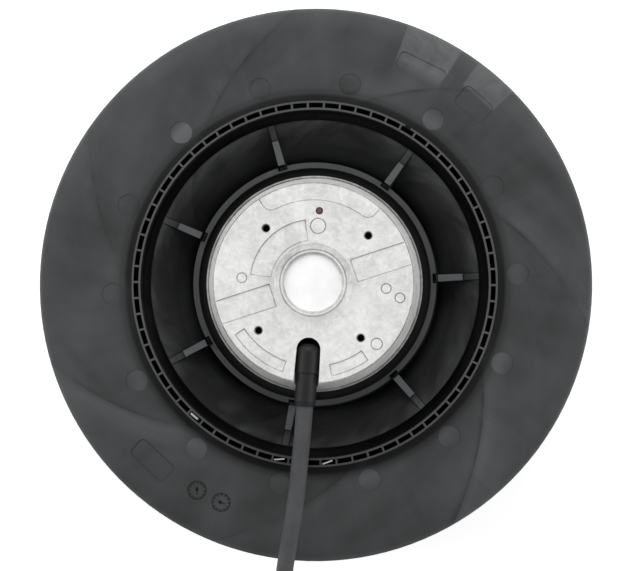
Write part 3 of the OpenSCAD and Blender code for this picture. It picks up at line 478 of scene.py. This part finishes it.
def black_nylon(name="black_nylon", disc=False):
    """Moulded black nylon, plain or with the faces, marks and painted light and shade of the back
    disc.
    """
    m = Shader(name, NYLON, 0.46, specular=0.27)
    patches = m.noise(24, 4, 0.6, distort=0.8)
    flow = m.noise(55, 3, 0.6, stretch=(1, 0.35, 1), distort=1.2)
    mixed = m.times(m.add(patches, flow), 0.5)
    gloss = m.spread(mixed, 0.38, 0.62, 0.52, 0.4)
    if disc:
        share, dull = disc_look(m, patches)
        gloss = m.add(gloss, dull)
    else:
        share = m.spread(mixed, 0.36, 0.64, 0.2, 0.6)
    m.tint(share, shade(NYLON, 0.1), shade(NYLON, 2.3))
    m.gloss(gloss)
    m.relief(m.noise(1500, 2), 0.00002)
    m.relief(m.noise(90, 2), 0.00016, 0.35)
    return m.mat


# The flange's material

CAST = (0.8, 0.8, 0.793)
# The radius up to which the flange's dirt is laid out
FLANGE_REACH = 0.045
# Painted shade by distance from the spin axis: in the boss's bevel, below its rim and on the outer
# wall
RECESS_SHADE = [
    (0.0112, 0.0), (0.0114, 0.1), (0.0117, 0.35), (0.0122, 0.35), (0.0125, 0.0), (0.0129, 0.0),
    (0.0132, 0.5), (0.01345, 0.5), (0.0137, 0.0), (0.0427, 0.0), (0.0431, 0.6),
]
# Painted shade on the boss's cone
CONE_SHADE = [(0.0131, 0.0), (0.0133, 0.3), (0.0152, 0.3), (0.0157, 0.42), (0.0161, 0.0)]
# Width of the painted shade round the edge of a mounting hole
HOLE_EDGE = 0.00035


def flange_painted_shade(m):
    """How much darker painted shade makes the flange; where it goes below zero it is painted light."""
    r = m.radius()
    xyz = m.split_place()
    in_recesses = by_radius(m, r, FLANGE_REACH, RECESS_SHADE)
    # The cone's painted shade is darker on the far side and turns to painted light on the side of the
    # cable
    cone = m.times(by_radius(m, r, FLANGE_REACH, CONE_SHADE), m.spread(xyz[1], -0.014, 0.006, -0.8, 1))
    aside = m.add(m.size(xyz[0]), -HOLE_ASIDE)
    ahead = m.add(m.size(xyz[1]), -HOLE_ASIDE)
    edge = m.spread(m.hypotenuse(aside, ahead), BOLT_HOLE_R, BOLT_HOLE_R + HOLE_EDGE, 0.6, 0)
    return m.add(m.add(in_recesses, cone), edge)


def cast_aluminium():
    m = Shader("cast_aluminium", CAST, 0.55, metallic=0.2)
    fine = m.noise(520, 5, 0.7, distort=0.5)
    mottle = m.noise(200, 5, 0.68, distort=0.6)
    broad = m.noise(38, 4, 0.6, distort=1.0)
    mixed = m.times(m.add(m.add(mottle, broad), fine), 1 / 3)
    clean = m.spread(mixed, 0.4, 0.59, 0.49, 0.85)
    m.tint(m.less(clean, flange_painted_shade(m)), shade(CAST, 0.3), shade(CAST, 1.25))
    m.gloss(m.spread(mottle, 0.3, 0.7, 0.62, 0.46))
    m.relief(m.noise(700, 4, 0.6), 0.00008, 0.8)
    m.relief(m.noise(120, 2), 0.0001, 0.3)
    return m.mat


# The other materials

def plain_plastic(name, base, roughness, grain=900, bump=0.00003, sheen=0.5):
    m = Shader(name, base, roughness, specular=sheen)
    fine = m.noise(grain, 3)
    broad = m.noise(60, 3)
    m.tint(m.spread(broad, 0.35, 0.65, 0, 1), shade(base, 0.9), shade(base, 1.08))
    m.gloss(m.spread(fine, 0.3, 0.7, roughness + 0.06, roughness - 0.05))
    m.relief(fine, bump)
    return m.mat


def steel(name, base, roughness, line=None, streak=(1, 1, 1)):
    """Bare metal, with the fine lines of a turned or a stacked face where it has them."""
    m = Shader(name, base, roughness, metallic=1.0)
    grain = m.noise(900, 3, 0.6, stretch=streak)
    broad = m.noise(70, 3)
    m.tint(m.spread(broad, 0.3, 0.7, 0, 1), shade(base, 0.86), shade(base, 1.1))
    m.gloss(m.spread(grain, 0.3, 0.7, roughness + 0.08, max(0.03, roughness - 0.06)))
    m.relief(grain, 0.00001)
    if line == "turned":
        m.rings(m.radius(), 0.0003, 0.000006)
    if line == "stacked":
        m.rings(m.split_place()[2], 0.0005, 0.00005)
    return m.mat


def rotor_paint():
    base = (0.006, 0.006, 0.0065)
    m = Shader("rotor_paint", base, 0.44, specular=0.3)
    orange_peel = m.noise(520, 2)
    m.tint(m.spread(m.noise(50, 3), 0.3, 0.7, 0, 1), shade(base, 0.85), shade(base, 1.2))
    m.gloss(m.spread(orange_peel, 0.3, 0.7, 0.46, 0.34))
    m.relief(orange_peel, 0.00006, 0.6)
    return m.mat


def enamelled_copper():
    base = (0.62, 0.26, 0.09)
    m = Shader("enamelled_copper", base, 0.32, metallic=0.75)
    m.tint(m.spread(m.noise(160, 4), 0.3, 0.7, 0, 1), shade(base, 0.7), shade(base, 1.2))
    m.gloss(m.spread(m.noise(400, 2), 0.3, 0.7, 0.4, 0.25))
    m.rings(m.radius(), 0.0007, 0.00018)
    return m.mat


def cable_sheath():
    base = (0.069, 0.07, 0.073)
    m = Shader("cable_sheath", base, 0.7, specular=0.22)
    m.tint(m.spread(m.noise(70, 4), 0.34, 0.66, 0, 1), shade(base, 0.86), shade(base, 1.16))
    m.gloss(m.spread(m.noise(500, 3), 0.3, 0.7, 0.76, 0.62))
    m.relief(m.noise(320, 3), 0.00008, 0.5)
    return m.mat


def woven_sleeving():
    base = (0.1, 0.1, 0.1)
    m = Shader("lead_sleeving", base, 0.7)
    m.tint(m.spread(m.noise(200, 3), 0.3, 0.7, 0, 1), shade(base, 0.7), shade(base, 1.3))
    xyz = m.split_place()
    m.rings(m.add(xyz[0], xyz[1]), 0.0008, 0.0001)
    m.rings(m.less(xyz[0], xyz[1]), 0.0008, 0.0001)
    return m.mat


def red_copper():
    """The pin's copper, lighter in the middle of its head and darker in painted shade towards its
    edge.
    """
    base = (0.13, 0.07, 0.078)
    m = Shader("copper", base, 0.5, metallic=0.1)
    centre_to_edge = m.spread(m.radius(*PIN_PLACE), 0.0004, 0.0012, 0.9, 0.1)
    uneven = m.spread(m.noise(900, 3), 0.3, 0.7, -0.1, 0.1)
    m.tint(m.add(centre_to_edge, uneven), shade(base, 0.25), shade(base, 1.15))
    m.gloss(m.spread(m.noise(500, 2), 0.3, 0.7, 0.6, 0.4))
    m.relief(m.noise(900, 2), 0.00006)
    return m.mat


materials = {
    "cast_aluminium": cast_aluminium(),
    "white_cap": plain_plastic("white_cap", (0.96, 0.96, 0.96), 0.42, 800, 0.00002),
    "copper": red_copper(),
    "black_rubber": plain_plastic("black_rubber", (0.011, 0.011, 0.012), 0.54, 700, 0.00004, 0.3),
    "lead_sleeving": woven_sleeving(),
    "bearing_steel": steel("bearing_steel", (0.62, 0.63, 0.65), 0.22, "turned"),
    "polished_steel": steel("polished_steel", (0.8, 0.81, 0.83), 0.08),
    "cage_polymer": plain_plastic("cage_polymer", (0.6, 0.47, 0.24), 0.42),
    "spring_steel": steel("spring_steel", (0.4, 0.41, 0.43), 0.34),
    "clip_steel": steel("clip_steel", (0.9, 0.9, 0.9), 0.3),
    "ground_steel": steel("ground_steel", (0.68, 0.69, 0.71), 0.24, streak=(1, 1, 6)),
    "turned_steel": steel("turned_steel", (0.5, 0.51, 0.53), 0.34, "turned"),
    "rotor_paint": rotor_paint(),
    "lamination_steel": steel("lamination_steel", (0.3, 0.31, 0.33), 0.46, "stacked"),
    "cage_aluminium": steel("cage_aluminium", (0.68, 0.68, 0.69), 0.46),
    "insulator_polymer": plain_plastic("insulator_polymer", (0.82, 0.77, 0.62), 0.44),
    "enamelled_copper": enamelled_copper(),
    "protector_case": plain_plastic("protector_case", (0.84, 0.83, 0.79), 0.4),
    "black_nylon": black_nylon(),
    "moulded_disc": black_nylon("moulded_disc", disc=True),
    "nylon_shadow": plain_plastic("nylon_shadow", (0.02, 0.0205, 0.021), 0.6, sheen=0.2),
    "cable_sheath": cable_sheath(),
    "tie_polymer": plain_plastic("tie_polymer", (0.018, 0.018, 0.019), 0.4),
    "tinned_copper": steel("tinned_copper", (0.74, 0.75, 0.76), 0.26),
}

slot_of = {p["node"]: p["material_slot"] for p in frame["record"]["subparts"]}
for name, obj in nodes.items():
    made = materials.get("moulded_disc" if name == "impeller_backplate" else slot_of[name])
    # The conductors' slot has no material here, because the scene's own wires replace that node
    if made is not None:
        obj.data.materials.clear()
        obj.data.materials.append(made)


# Helpers for the scene's own pieces

def add_object(name, data):
    obj = bpy.data.objects.new(name, data)
    scene.collection.objects.link(obj)
    return obj


def add_mesh(name, verts, faces, mat, smooth=True):
    mesh = bpy.data.meshes.new(name)
    mesh.from_pydata(verts, [], faces)
    mesh.validate()
    mesh.update()
    mesh.materials.append(mat)
    if smooth:
        mesh.polygons.foreach_set("use_smooth", [True] * len(mesh.polygons))
    return add_object(name, mesh)


def add_built(name, bm, mat):
    mesh = bpy.data.meshes.new(name)
    bm.to_mesh(mesh)
    bm.free()
    mesh.materials.append(mat)
    return add_object(name, mesh)


def add_tube(name, points, radius, mat, resolution=5):
    data = bpy.data.curves.new(name, "CURVE")
    data.dimensions = "3D"
    data.bevel_depth = radius
    data.bevel_resolution = resolution
    data.use_fill_caps = True
    line = data.splines.new("POLY")
    line.points.add(len(points) - 1)
    for point, place in zip(line.points, points):
        point.co = (*place, 1)
    line.use_smooth = True
    data.materials.append(mat)
    return add_object(name, data)


def band_faces(rings, sides):
    """Faces that join rings of vertices, each ring to the next."""
    faces = []
    for i in range(rings - 1):
        for j in range(sides):
            n = (j + 1) % sides
            faces.append((i * sides + j, i * sides + n, (i + 1) * sides + n, (i + 1) * sides + j))
    return faces


def soften(obj, width, segments):
    bevel = obj.modifiers.new("soft edges", "BEVEL")
    bevel.width = width
    bevel.segments = segments


def smooth_line(points, parts):
    """A curve through the points, cut into short straight parts."""
    out = []
    last = len(points) - 1
    for i in range(last):
        p0 = Vector(points[max(i - 1, 0)])
        p1 = Vector(points[i])
        p2 = Vector(points[i + 1])
        p3 = Vector(points[min(i + 2, last)])
        for k in range(parts):
            t = k / parts
            out.append(0.5 * (2 * p1 + (p2 - p0) * t + (2 * p0 - 5 * p1 + 4 * p2 - p3) * t * t
                              + (3 * p1 - p0 - 3 * p2 + p3) * t ** 3))
    out.append(Vector(points[last]))
    return out


def metres(points):
    return [tuple(c / 1000 for c in p) for p in points]


# The cable: over the disc, down to the table, one and a quarter turns of coil, and its tail

CABLE_R = 0.0034
fall = metres([
    (0, -49.5, 88.3), (0, -60, 88.3), (-0.3, -72, 88.5), (-0.6, -84, 88.6), (-1.3, -95, 88.5),
    (-2.3, -105, 88), (-3.2, -115, 86.6), (-3.6, -124, 83.6), (-3.9, -132, 78.6),
    (-4, -138.5, 71.6), (-4, -142.6, 63), (-4, -144.6, 53), (-4, -145.6, 43), (-4, -147.6, 33.5),
    (-4, -151.6, 25), (-4, -157.6, 18), (-4, -165.5, 13), (-4, -174, 11),
])
tail = metres([(47, -210.9, 4.1), (60, -206.8, 3.8), (71.5, -199.6, 3.6)])
COIL_CENTRE = Vector((0.0335, -0.174, 0))
COIL_R = 0.0375
# Where the coil starts, how far it runs and in what steps, in degrees
COIL_START = 180
COIL_RUN = 450
COIL_STEP = 10
# Height of the cable's middle in the upper turn and in the lower one
HIGH_TURN = 0.011
LOW_TURN = 0.0042
# The angle from which the cable sinks to the lower turn, and over how many degrees
SINK_START = 310
SINK_RUN = 190


def coil_height(angle):
    share = min(1.0, max(0.0, (angle - SINK_START) / SINK_RUN))
    share = share * share * (3 - 2 * share)
    return HIGH_TURN + (LOW_TURN - HIGH_TURN) * share


def on_coil(angle):
    """The place of the coil's middle line above or below an angle in radians."""
    return COIL_CENTRE + COIL_R * Vector((math.cos(angle), math.sin(angle), 0))


turns = []
for step in range(1, COIL_RUN // COIL_STEP + 1):
    angle = COIL_START + COIL_STEP * step
    spot = on_coil(math.radians(angle))
    turns.append((spot.x, spot.y, coil_height(angle)))

route = smooth_line(fall + turns + tail, 5)
supply_cable = add_tube("supply_cable", route, CABLE_R, materials["cable_sheath"], resolution=8)
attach(supply_cable, "stator")
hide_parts("cable", "cable_coil", "cable_tail")


# Four conductors with ferrules fan out of the end of the sheath

TAIL_TURN = math.radians(33)
CONDUCTOR_R = 0.00095
CONDUCTOR_L = 0.04
# How far each conductor's middle lies to the side of the sheath's, and above or below it
SPREAD = 0.001102
# How far a conductor starts inside the sheath, and how far it bows out along its length
CONDUCTOR_START = -0.002
CONDUCTOR_BOW = 0.0006
# Length of one band of colour and the next on the earth conductor
BAND_PITCH = 0.009
BLUE = (0.02, 0.09, 0.42)
BLACK = (0.015, 0.015, 0.016)
BROWN = (0.12, 0.045, 0.02)
GREEN = (0.02, 0.22, 0.04)
YELLOW = (0.75, 0.6, 0.03)
# Distance along a ferrule and its radius there: a flared collar, and a barrel from CRIMP_START
FERRULE = [(0, 0.0012), (0.0003, 0.0013), (0.0018, 0.0013), (0.0024, 0.00085), (0.003, 0.0007),
           (0.0075, 0.0007), (0.008, 0.00055), (0.008, 0)]
CRIMP_START = 0.003


def insulation(name, base, stripe):
    """Insulation in bands of two colours, or in one colour where both are the same."""
    m = Shader(name, base, 0.34)
    if stripe == base:
        m.tint(m.spread(m.noise(300, 2), 0.3, 0.7, 0, 1), shade(base, 0.88), shade(base, 1.1))
    else:
        along = m.node("ShaderNodeVectorMath", operation="DOT_PRODUCT")
        along.inputs[1].default_value = (math.cos(TAIL_TURN), math.sin(TAIL_TURN), 0.9)
        m.link(m.place, along.inputs[0])
        wave = m.spread(m.sine(m.times(along.outputs["Value"], TURN / BAND_PITCH)), -1, 1, 0, 1)
        bands = m.ramp(wave, [(0, base), (0.5, stripe)], "CONSTANT")
        m.link(bands, m.bsdf.inputs["Base Color"])
    m.gloss(m.spread(m.noise(600, 2), 0.3, 0.7, 0.4, 0.3))
    m.relief(m.noise(700, 2), 0.00002)
    return m.mat


def set_out_conductor(side, high):
    """Where a conductor starts and which way it points, by its side and its height of -1 or 1."""
    turn = math.radians((5 if high > 0 else 15) * side)
    dip = math.radians(4 if high > 0 else 1.2)
    start = Matrix.Translation(Vector(tail[-1])) @ Matrix.Rotation(TAIL_TURN, 4, "Z")
    start = start @ Matrix.Translation((0, side * SPREAD, high * SPREAD))
    return start @ Matrix.Rotation(turn, 4, "Z") @ Matrix.Rotation(dip, 4, "Y")


def add_conductor(name, start, side, mat):
    line = []
    parts = 12
    for k in range(parts + 1):
        t = k / parts
        bow = CONDUCTOR_BOW * math.sin(math.pi * t) * side
        line.append(start @ Vector((CONDUCTOR_START + (CONDUCTOR_L - CONDUCTOR_START) * t, bow, 0)))
    wire = add_tube(name, line, CONDUCTOR_R, mat)
    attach(wire, "stator")
    return wire


def add_ferrule(name, start):
    """The ferrule's collar is metal too, and its barrel is pressed in on four sides."""
    sides = 20
    verts = []
    for x, r in FERRULE:
        for j in range(sides):
            a = TURN * j / sides
            out = r * (0.82 if x >= CRIMP_START and j % 5 == 0 else 1.0)
            verts.append(start @ Vector((CONDUCTOR_L + x, out * math.cos(a), out * math.sin(a))))
    ferrule = add_mesh(name, verts, band_faces(len(FERRULE), sides), materials["tinned_copper"])
    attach(ferrule, "stator")
    return ferrule


for name, side, high, base, stripe in (
    ("conductor_blue", -1, -1, BLUE, BLUE),
    ("conductor_brown", 1, -1, BROWN, BROWN),
    ("conductor_black", -1, 1, BLACK, BLACK),
    ("conductor_earth", 1, 1, GREEN, YELLOW),
):
    start = set_out_conductor(side, high)
    add_conductor(name, start, side, insulation(name + "_insulation", base, stripe))
    add_ferrule(name.replace("conductor", "ferrule"), start)
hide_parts("conductor_ends")
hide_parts("ferrules")


# A ratchet tie holds the coil

TIE_ANGLE = math.radians(30)
TIE_OUT = Vector((math.cos(TIE_ANGLE), math.sin(TIE_ANGLE), 0))
TIE_ALONG = Vector((-math.sin(TIE_ANGLE), math.cos(TIE_ANGLE), 0))
TIE_CENTRE = on_coil(TIE_ANGLE)
# The strap's loop round the two turns: half its width, its lowest and highest level, its corners
LOOP_HALF = 0.0039
LOOP_LOW = 0.0004
LOOP_HIGH = 0.0148
LOOP_CORNER = 0.003
# Half the strap's width, and its thickness
STRAP_HALF = 0.0018
STRAP_T = 0.00063


def coil_strap():
    """The strap runs round the two turns in a loop with round corners, in the plane across them."""
    loop = []
    aside = LOOP_HALF - LOOP_CORNER
    for cx, cz, start in ((aside, LOOP_HIGH - LOOP_CORNER, 0), (-aside, LOOP_HIGH - LOOP_CORNER, 90),
                          (-aside, LOOP_LOW + LOOP_CORNER, 180), (aside, LOOP_LOW + LOOP_CORNER, 270)):
        for k in range(7):
            a = math.radians(start + 15 * k)
            loop.append((cx + LOOP_CORNER * math.cos(a), cz + LOOP_CORNER * math.sin(a),
                         math.cos(a), math.sin(a)))
    verts = []
    for x, z, nx, nz in loop:
        for side, depth in ((-1, 0), (1, 0), (1, STRAP_T), (-1, STRAP_T)):
            spot = TIE_CENTRE + TIE_OUT * (x - nx * depth) + TIE_ALONG * (side * STRAP_HALF)
            verts.append(spot + Vector((0, 0, z - nz * depth)))
    faces = []
    for i in range(len(loop)):
        n = (i + 1) % len(loop)
        for j in range(4):
            m = (j + 1) % 4
            faces.append((i * 4 + j, n * 4 + j, n * 4 + m, i * 4 + m))
    strap = add_mesh("coil_strap", verts, faces, materials["tie_polymer"], smooth=False)
    soften(strap, 0.0002, 2)
    return strap


def tie_head():
    """The head of the tie, with its slot and the short cut end of the strap."""
    bm = bmesh.new()

    def block(middle, sizes):
        for v in bmesh.ops.create_cube(bm, size=1)["verts"]:
            out, along, up = [c * size + shift for c, size, shift in zip(v.co, sizes, middle)]
            v.co = TIE_CENTRE + TIE_OUT * out + TIE_ALONG * along + Vector((0, 0, up))

    # The head, the cut end that stands out of it, and a lip beside that
    block((0.0009, 0, 0.01615), (0.0042, 0.0052, 0.003))
    block((0.0009, 0, 0.0182), (0.0009, 0.0034, 0.0036))
    block((-0.0003, 0, 0.0176), (0.0007, 0.003, 0.0012))
    head = add_built("coil_tie_head", bm, materials["tie_polymer"])
    soften(head, 0.0004, 3)
    return head


strap = coil_strap()
head = tie_head()
for piece in (strap, head):
    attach(piece, "stator")
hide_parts("coil_tie")


# Fine details that are too small for the solids

THREAD_PITCH = 0.0007
THREAD_TURNS = 11
# Depth below the face at which the thread starts
THREAD_DROP = 0.0011
# How far the thread's feet and its crest stand inside the hole's wall
THREAD_FOOT = 0.00002
THREAD_CREST = 0.0003


def thread_in_hole(index):
    """Turns of the M4 thread in a mounting hole."""
    a = math.radians(45 + 90 * index)
    cx = BOLT_CIRCLE_R * math.cos(a)
    cy = BOLT_CIRCLE_R * math.sin(a)
    sides = 24
    section = [(BOLT_HOLE_R - THREAD_FOOT, THREAD_PITCH / 2), (BOLT_HOLE_R - THREAD_CREST, 0),
               (BOLT_HOLE_R - THREAD_FOOT, -THREAD_PITCH / 2)]
    verts = []
    for k in range(sides * THREAD_TURNS + 1):
        t = TURN * k / sides
        z = FACE_Z - THREAD_DROP - THREAD_PITCH * k / sides
        for r, dz in section:
            verts.append((cx + r * math.cos(t), cy + r * math.sin(t), z + dz))
    faces = []
    for k in range(sides * THREAD_TURNS):
        for j in (0, 1):
            faces.append((k * 3 + j, k * 3 + j + 1, (k + 1) * 3 + j + 1, (k + 1) * 3 + j))
    thread = add_mesh("mount_thread_%d" % (index + 1), verts, faces, materials["cast_aluminium"])
    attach(thread, "stator")


for index in range(4):
    thread_in_hole(index)


def pin_head():
    """The pin fills its hole and ends as a low dome just proud of the flange's face."""
    sides = 40
    profile = [(PIN_R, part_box("earth_pin")[0][2]), (PIN_R, FACE_Z + 0.00002),
               (0.00136, FACE_Z + 0.00007), (0.0009, FACE_Z + 0.00011), (0.0004, FACE_Z + 0.00013)]
    verts = []
    for r, z in profile:
        for j in range(sides):
            t = TURN * j / sides
            verts.append((PIN_PLACE[0] + r * math.cos(t), PIN_PLACE[1] + r * math.sin(t), z))
    faces = band_faces(len(profile), sides)
    faces.append(tuple(reversed(range(sides))))
    faces.append(tuple(range((len(profile) - 1) * sides, len(profile) * sides)))
    pin = add_mesh("earth_pin_head", verts, faces, materials["copper"], smooth=False)
    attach(pin, "stator")
    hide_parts("earth_pin")


pin_head()

# The date rings of the mould: their circle on the disc, their angles, and their marks' two levels
CLOCK_CIRCLE_R = DISC_R - 0.016
CLOCK_ANGLES = (244.5, 251)
MARK_LOW = DISC_TOP - 0.00005
MARK_HIGH = DISC_TOP + 0.00012


def clock_marks(index, angle):
    """Bare graduations and a pointer inside a date ring of the mould, as dark pieces of painted shade
    that stand in for the shade in their engraved lines.
    """
    a = math.radians(angle)
    centre = Vector((CLOCK_CIRCLE_R * math.cos(a), CLOCK_CIRCLE_R * math.sin(a), 0))
    bm = bmesh.new()

    def bar(turn, inner, outer, width):
        corners = []
        for r, w in ((inner, -1), (outer, -1), (outer, 1), (inner, 1)):
            local = Vector((r, w * width / 2, 0))
            corners.append(centre + Matrix.Rotation(turn, 3, "Z") @ local)
        bottom = [bm.verts.new((c.x, c.y, MARK_LOW)) for c in corners]
        top = [bm.verts.new((c.x, c.y, MARK_HIGH)) for c in corners]
        bm.faces.new(top)
        bm.faces.new(list(reversed(bottom)))
        for j in range(4):
            n = (j + 1) % 4
            bm.faces.new((bottom[j], bottom[n], top[n], top[j]))

    for k in range(12):
        bar(TURN * k / 12, 0.0027, 0.0037, 0.0007)
    # The pointer, and the two short strokes that branch back from its middle
    pointer = a + 0.6 + index
    bar(pointer, -0.0015, 0.0017, 0.0006)
    for turn in (2.5, -2.5):
        bar(pointer + turn, -0.0002, 0.0011, 0.0005)
    marks = add_built("mould_ring_marks_%d" % (index + 1), bm, materials["nylon_shadow"])
    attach(marks, "rotor")


for index, angle in enumerate(CLOCK_ANGLES):
    clock_marks(index, angle)


# Floor, lights and world

FLOOR_HALF = 6
# Light that the floor adds for the camera and for reflections, so that it shows as white
FLOOR_GLOW = 0.54
LAMP_SIZE = 0.9
LAMP_TARGET = Vector((0, 0, 0.05))
WORLD_LIGHT = 0.42


def floor_white():
    m = Shader("floor_white", (0.9, 0.9, 0.9), 0.9, specular=0.1)
    path = m.node("ShaderNodeLightPath")
    seen = path.outputs["Is Camera Ray"]
    for kind in ("Is Glossy Ray", "Is Transmission Ray"):
        seen = m.most(seen, path.outputs[kind])
    glow = m.node("ShaderNodeEmission")
    glow.inputs["Strength"].default_value = FLOOR_GLOW
    both = m.node("ShaderNodeAddShader")
    m.link(m.bsdf.outputs[0], both.inputs[0])
    m.link(glow.outputs[0], both.inputs[1])
    pick = m.node("ShaderNodeMixShader")
    m.link(seen, pick.inputs["Fac"])
    m.link(m.bsdf.outputs[0], pick.inputs[1])
    m.link(both.outputs[0], pick.inputs[2])
    m.link(pick.outputs[0], m.tree.nodes["Material Output"].inputs["Surface"])
    return m.mat


def soft_box(name, spot, radiance):
    data = bpy.data.lights.new(name, "AREA")
    data.shape = "SQUARE"
    data.size = LAMP_SIZE
    data.energy = radiance * math.pi * LAMP_SIZE * LAMP_SIZE
    lamp = add_object(name, data)
    lamp.location = spot
    lamp.rotation_euler = (LAMP_TARGET - Vector(spot)).to_track_quat("-Z", "Y").to_euler()


corners = [(x * FLOOR_HALF, y * FLOOR_HALF, 0) for x, y in ((-1, -1), (1, -1), (1, 1), (-1, 1))]
floor = add_mesh("floor", corners, [(0, 1, 2, 3)], floor_white(), smooth=False)
soft_box("back_light", (-0.05, 1.15, 0.9), 3.6)
soft_box("left_light", (-1.2, 0.2, 0.75), 3.45)
soft_box("right_light", (1.2, 0.05, 0.75), 3.05)

world = bpy.data.worlds.new("studio")
scene.world = world
world.use_nodes = True
world.node_tree.nodes["Background"].inputs["Color"].default_value = (1, 1, 1, 1)
world.node_tree.nodes["Background"].inputs["Strength"].default_value = WORLD_LIGHT
scene.view_settings.view_transform = "Standard"

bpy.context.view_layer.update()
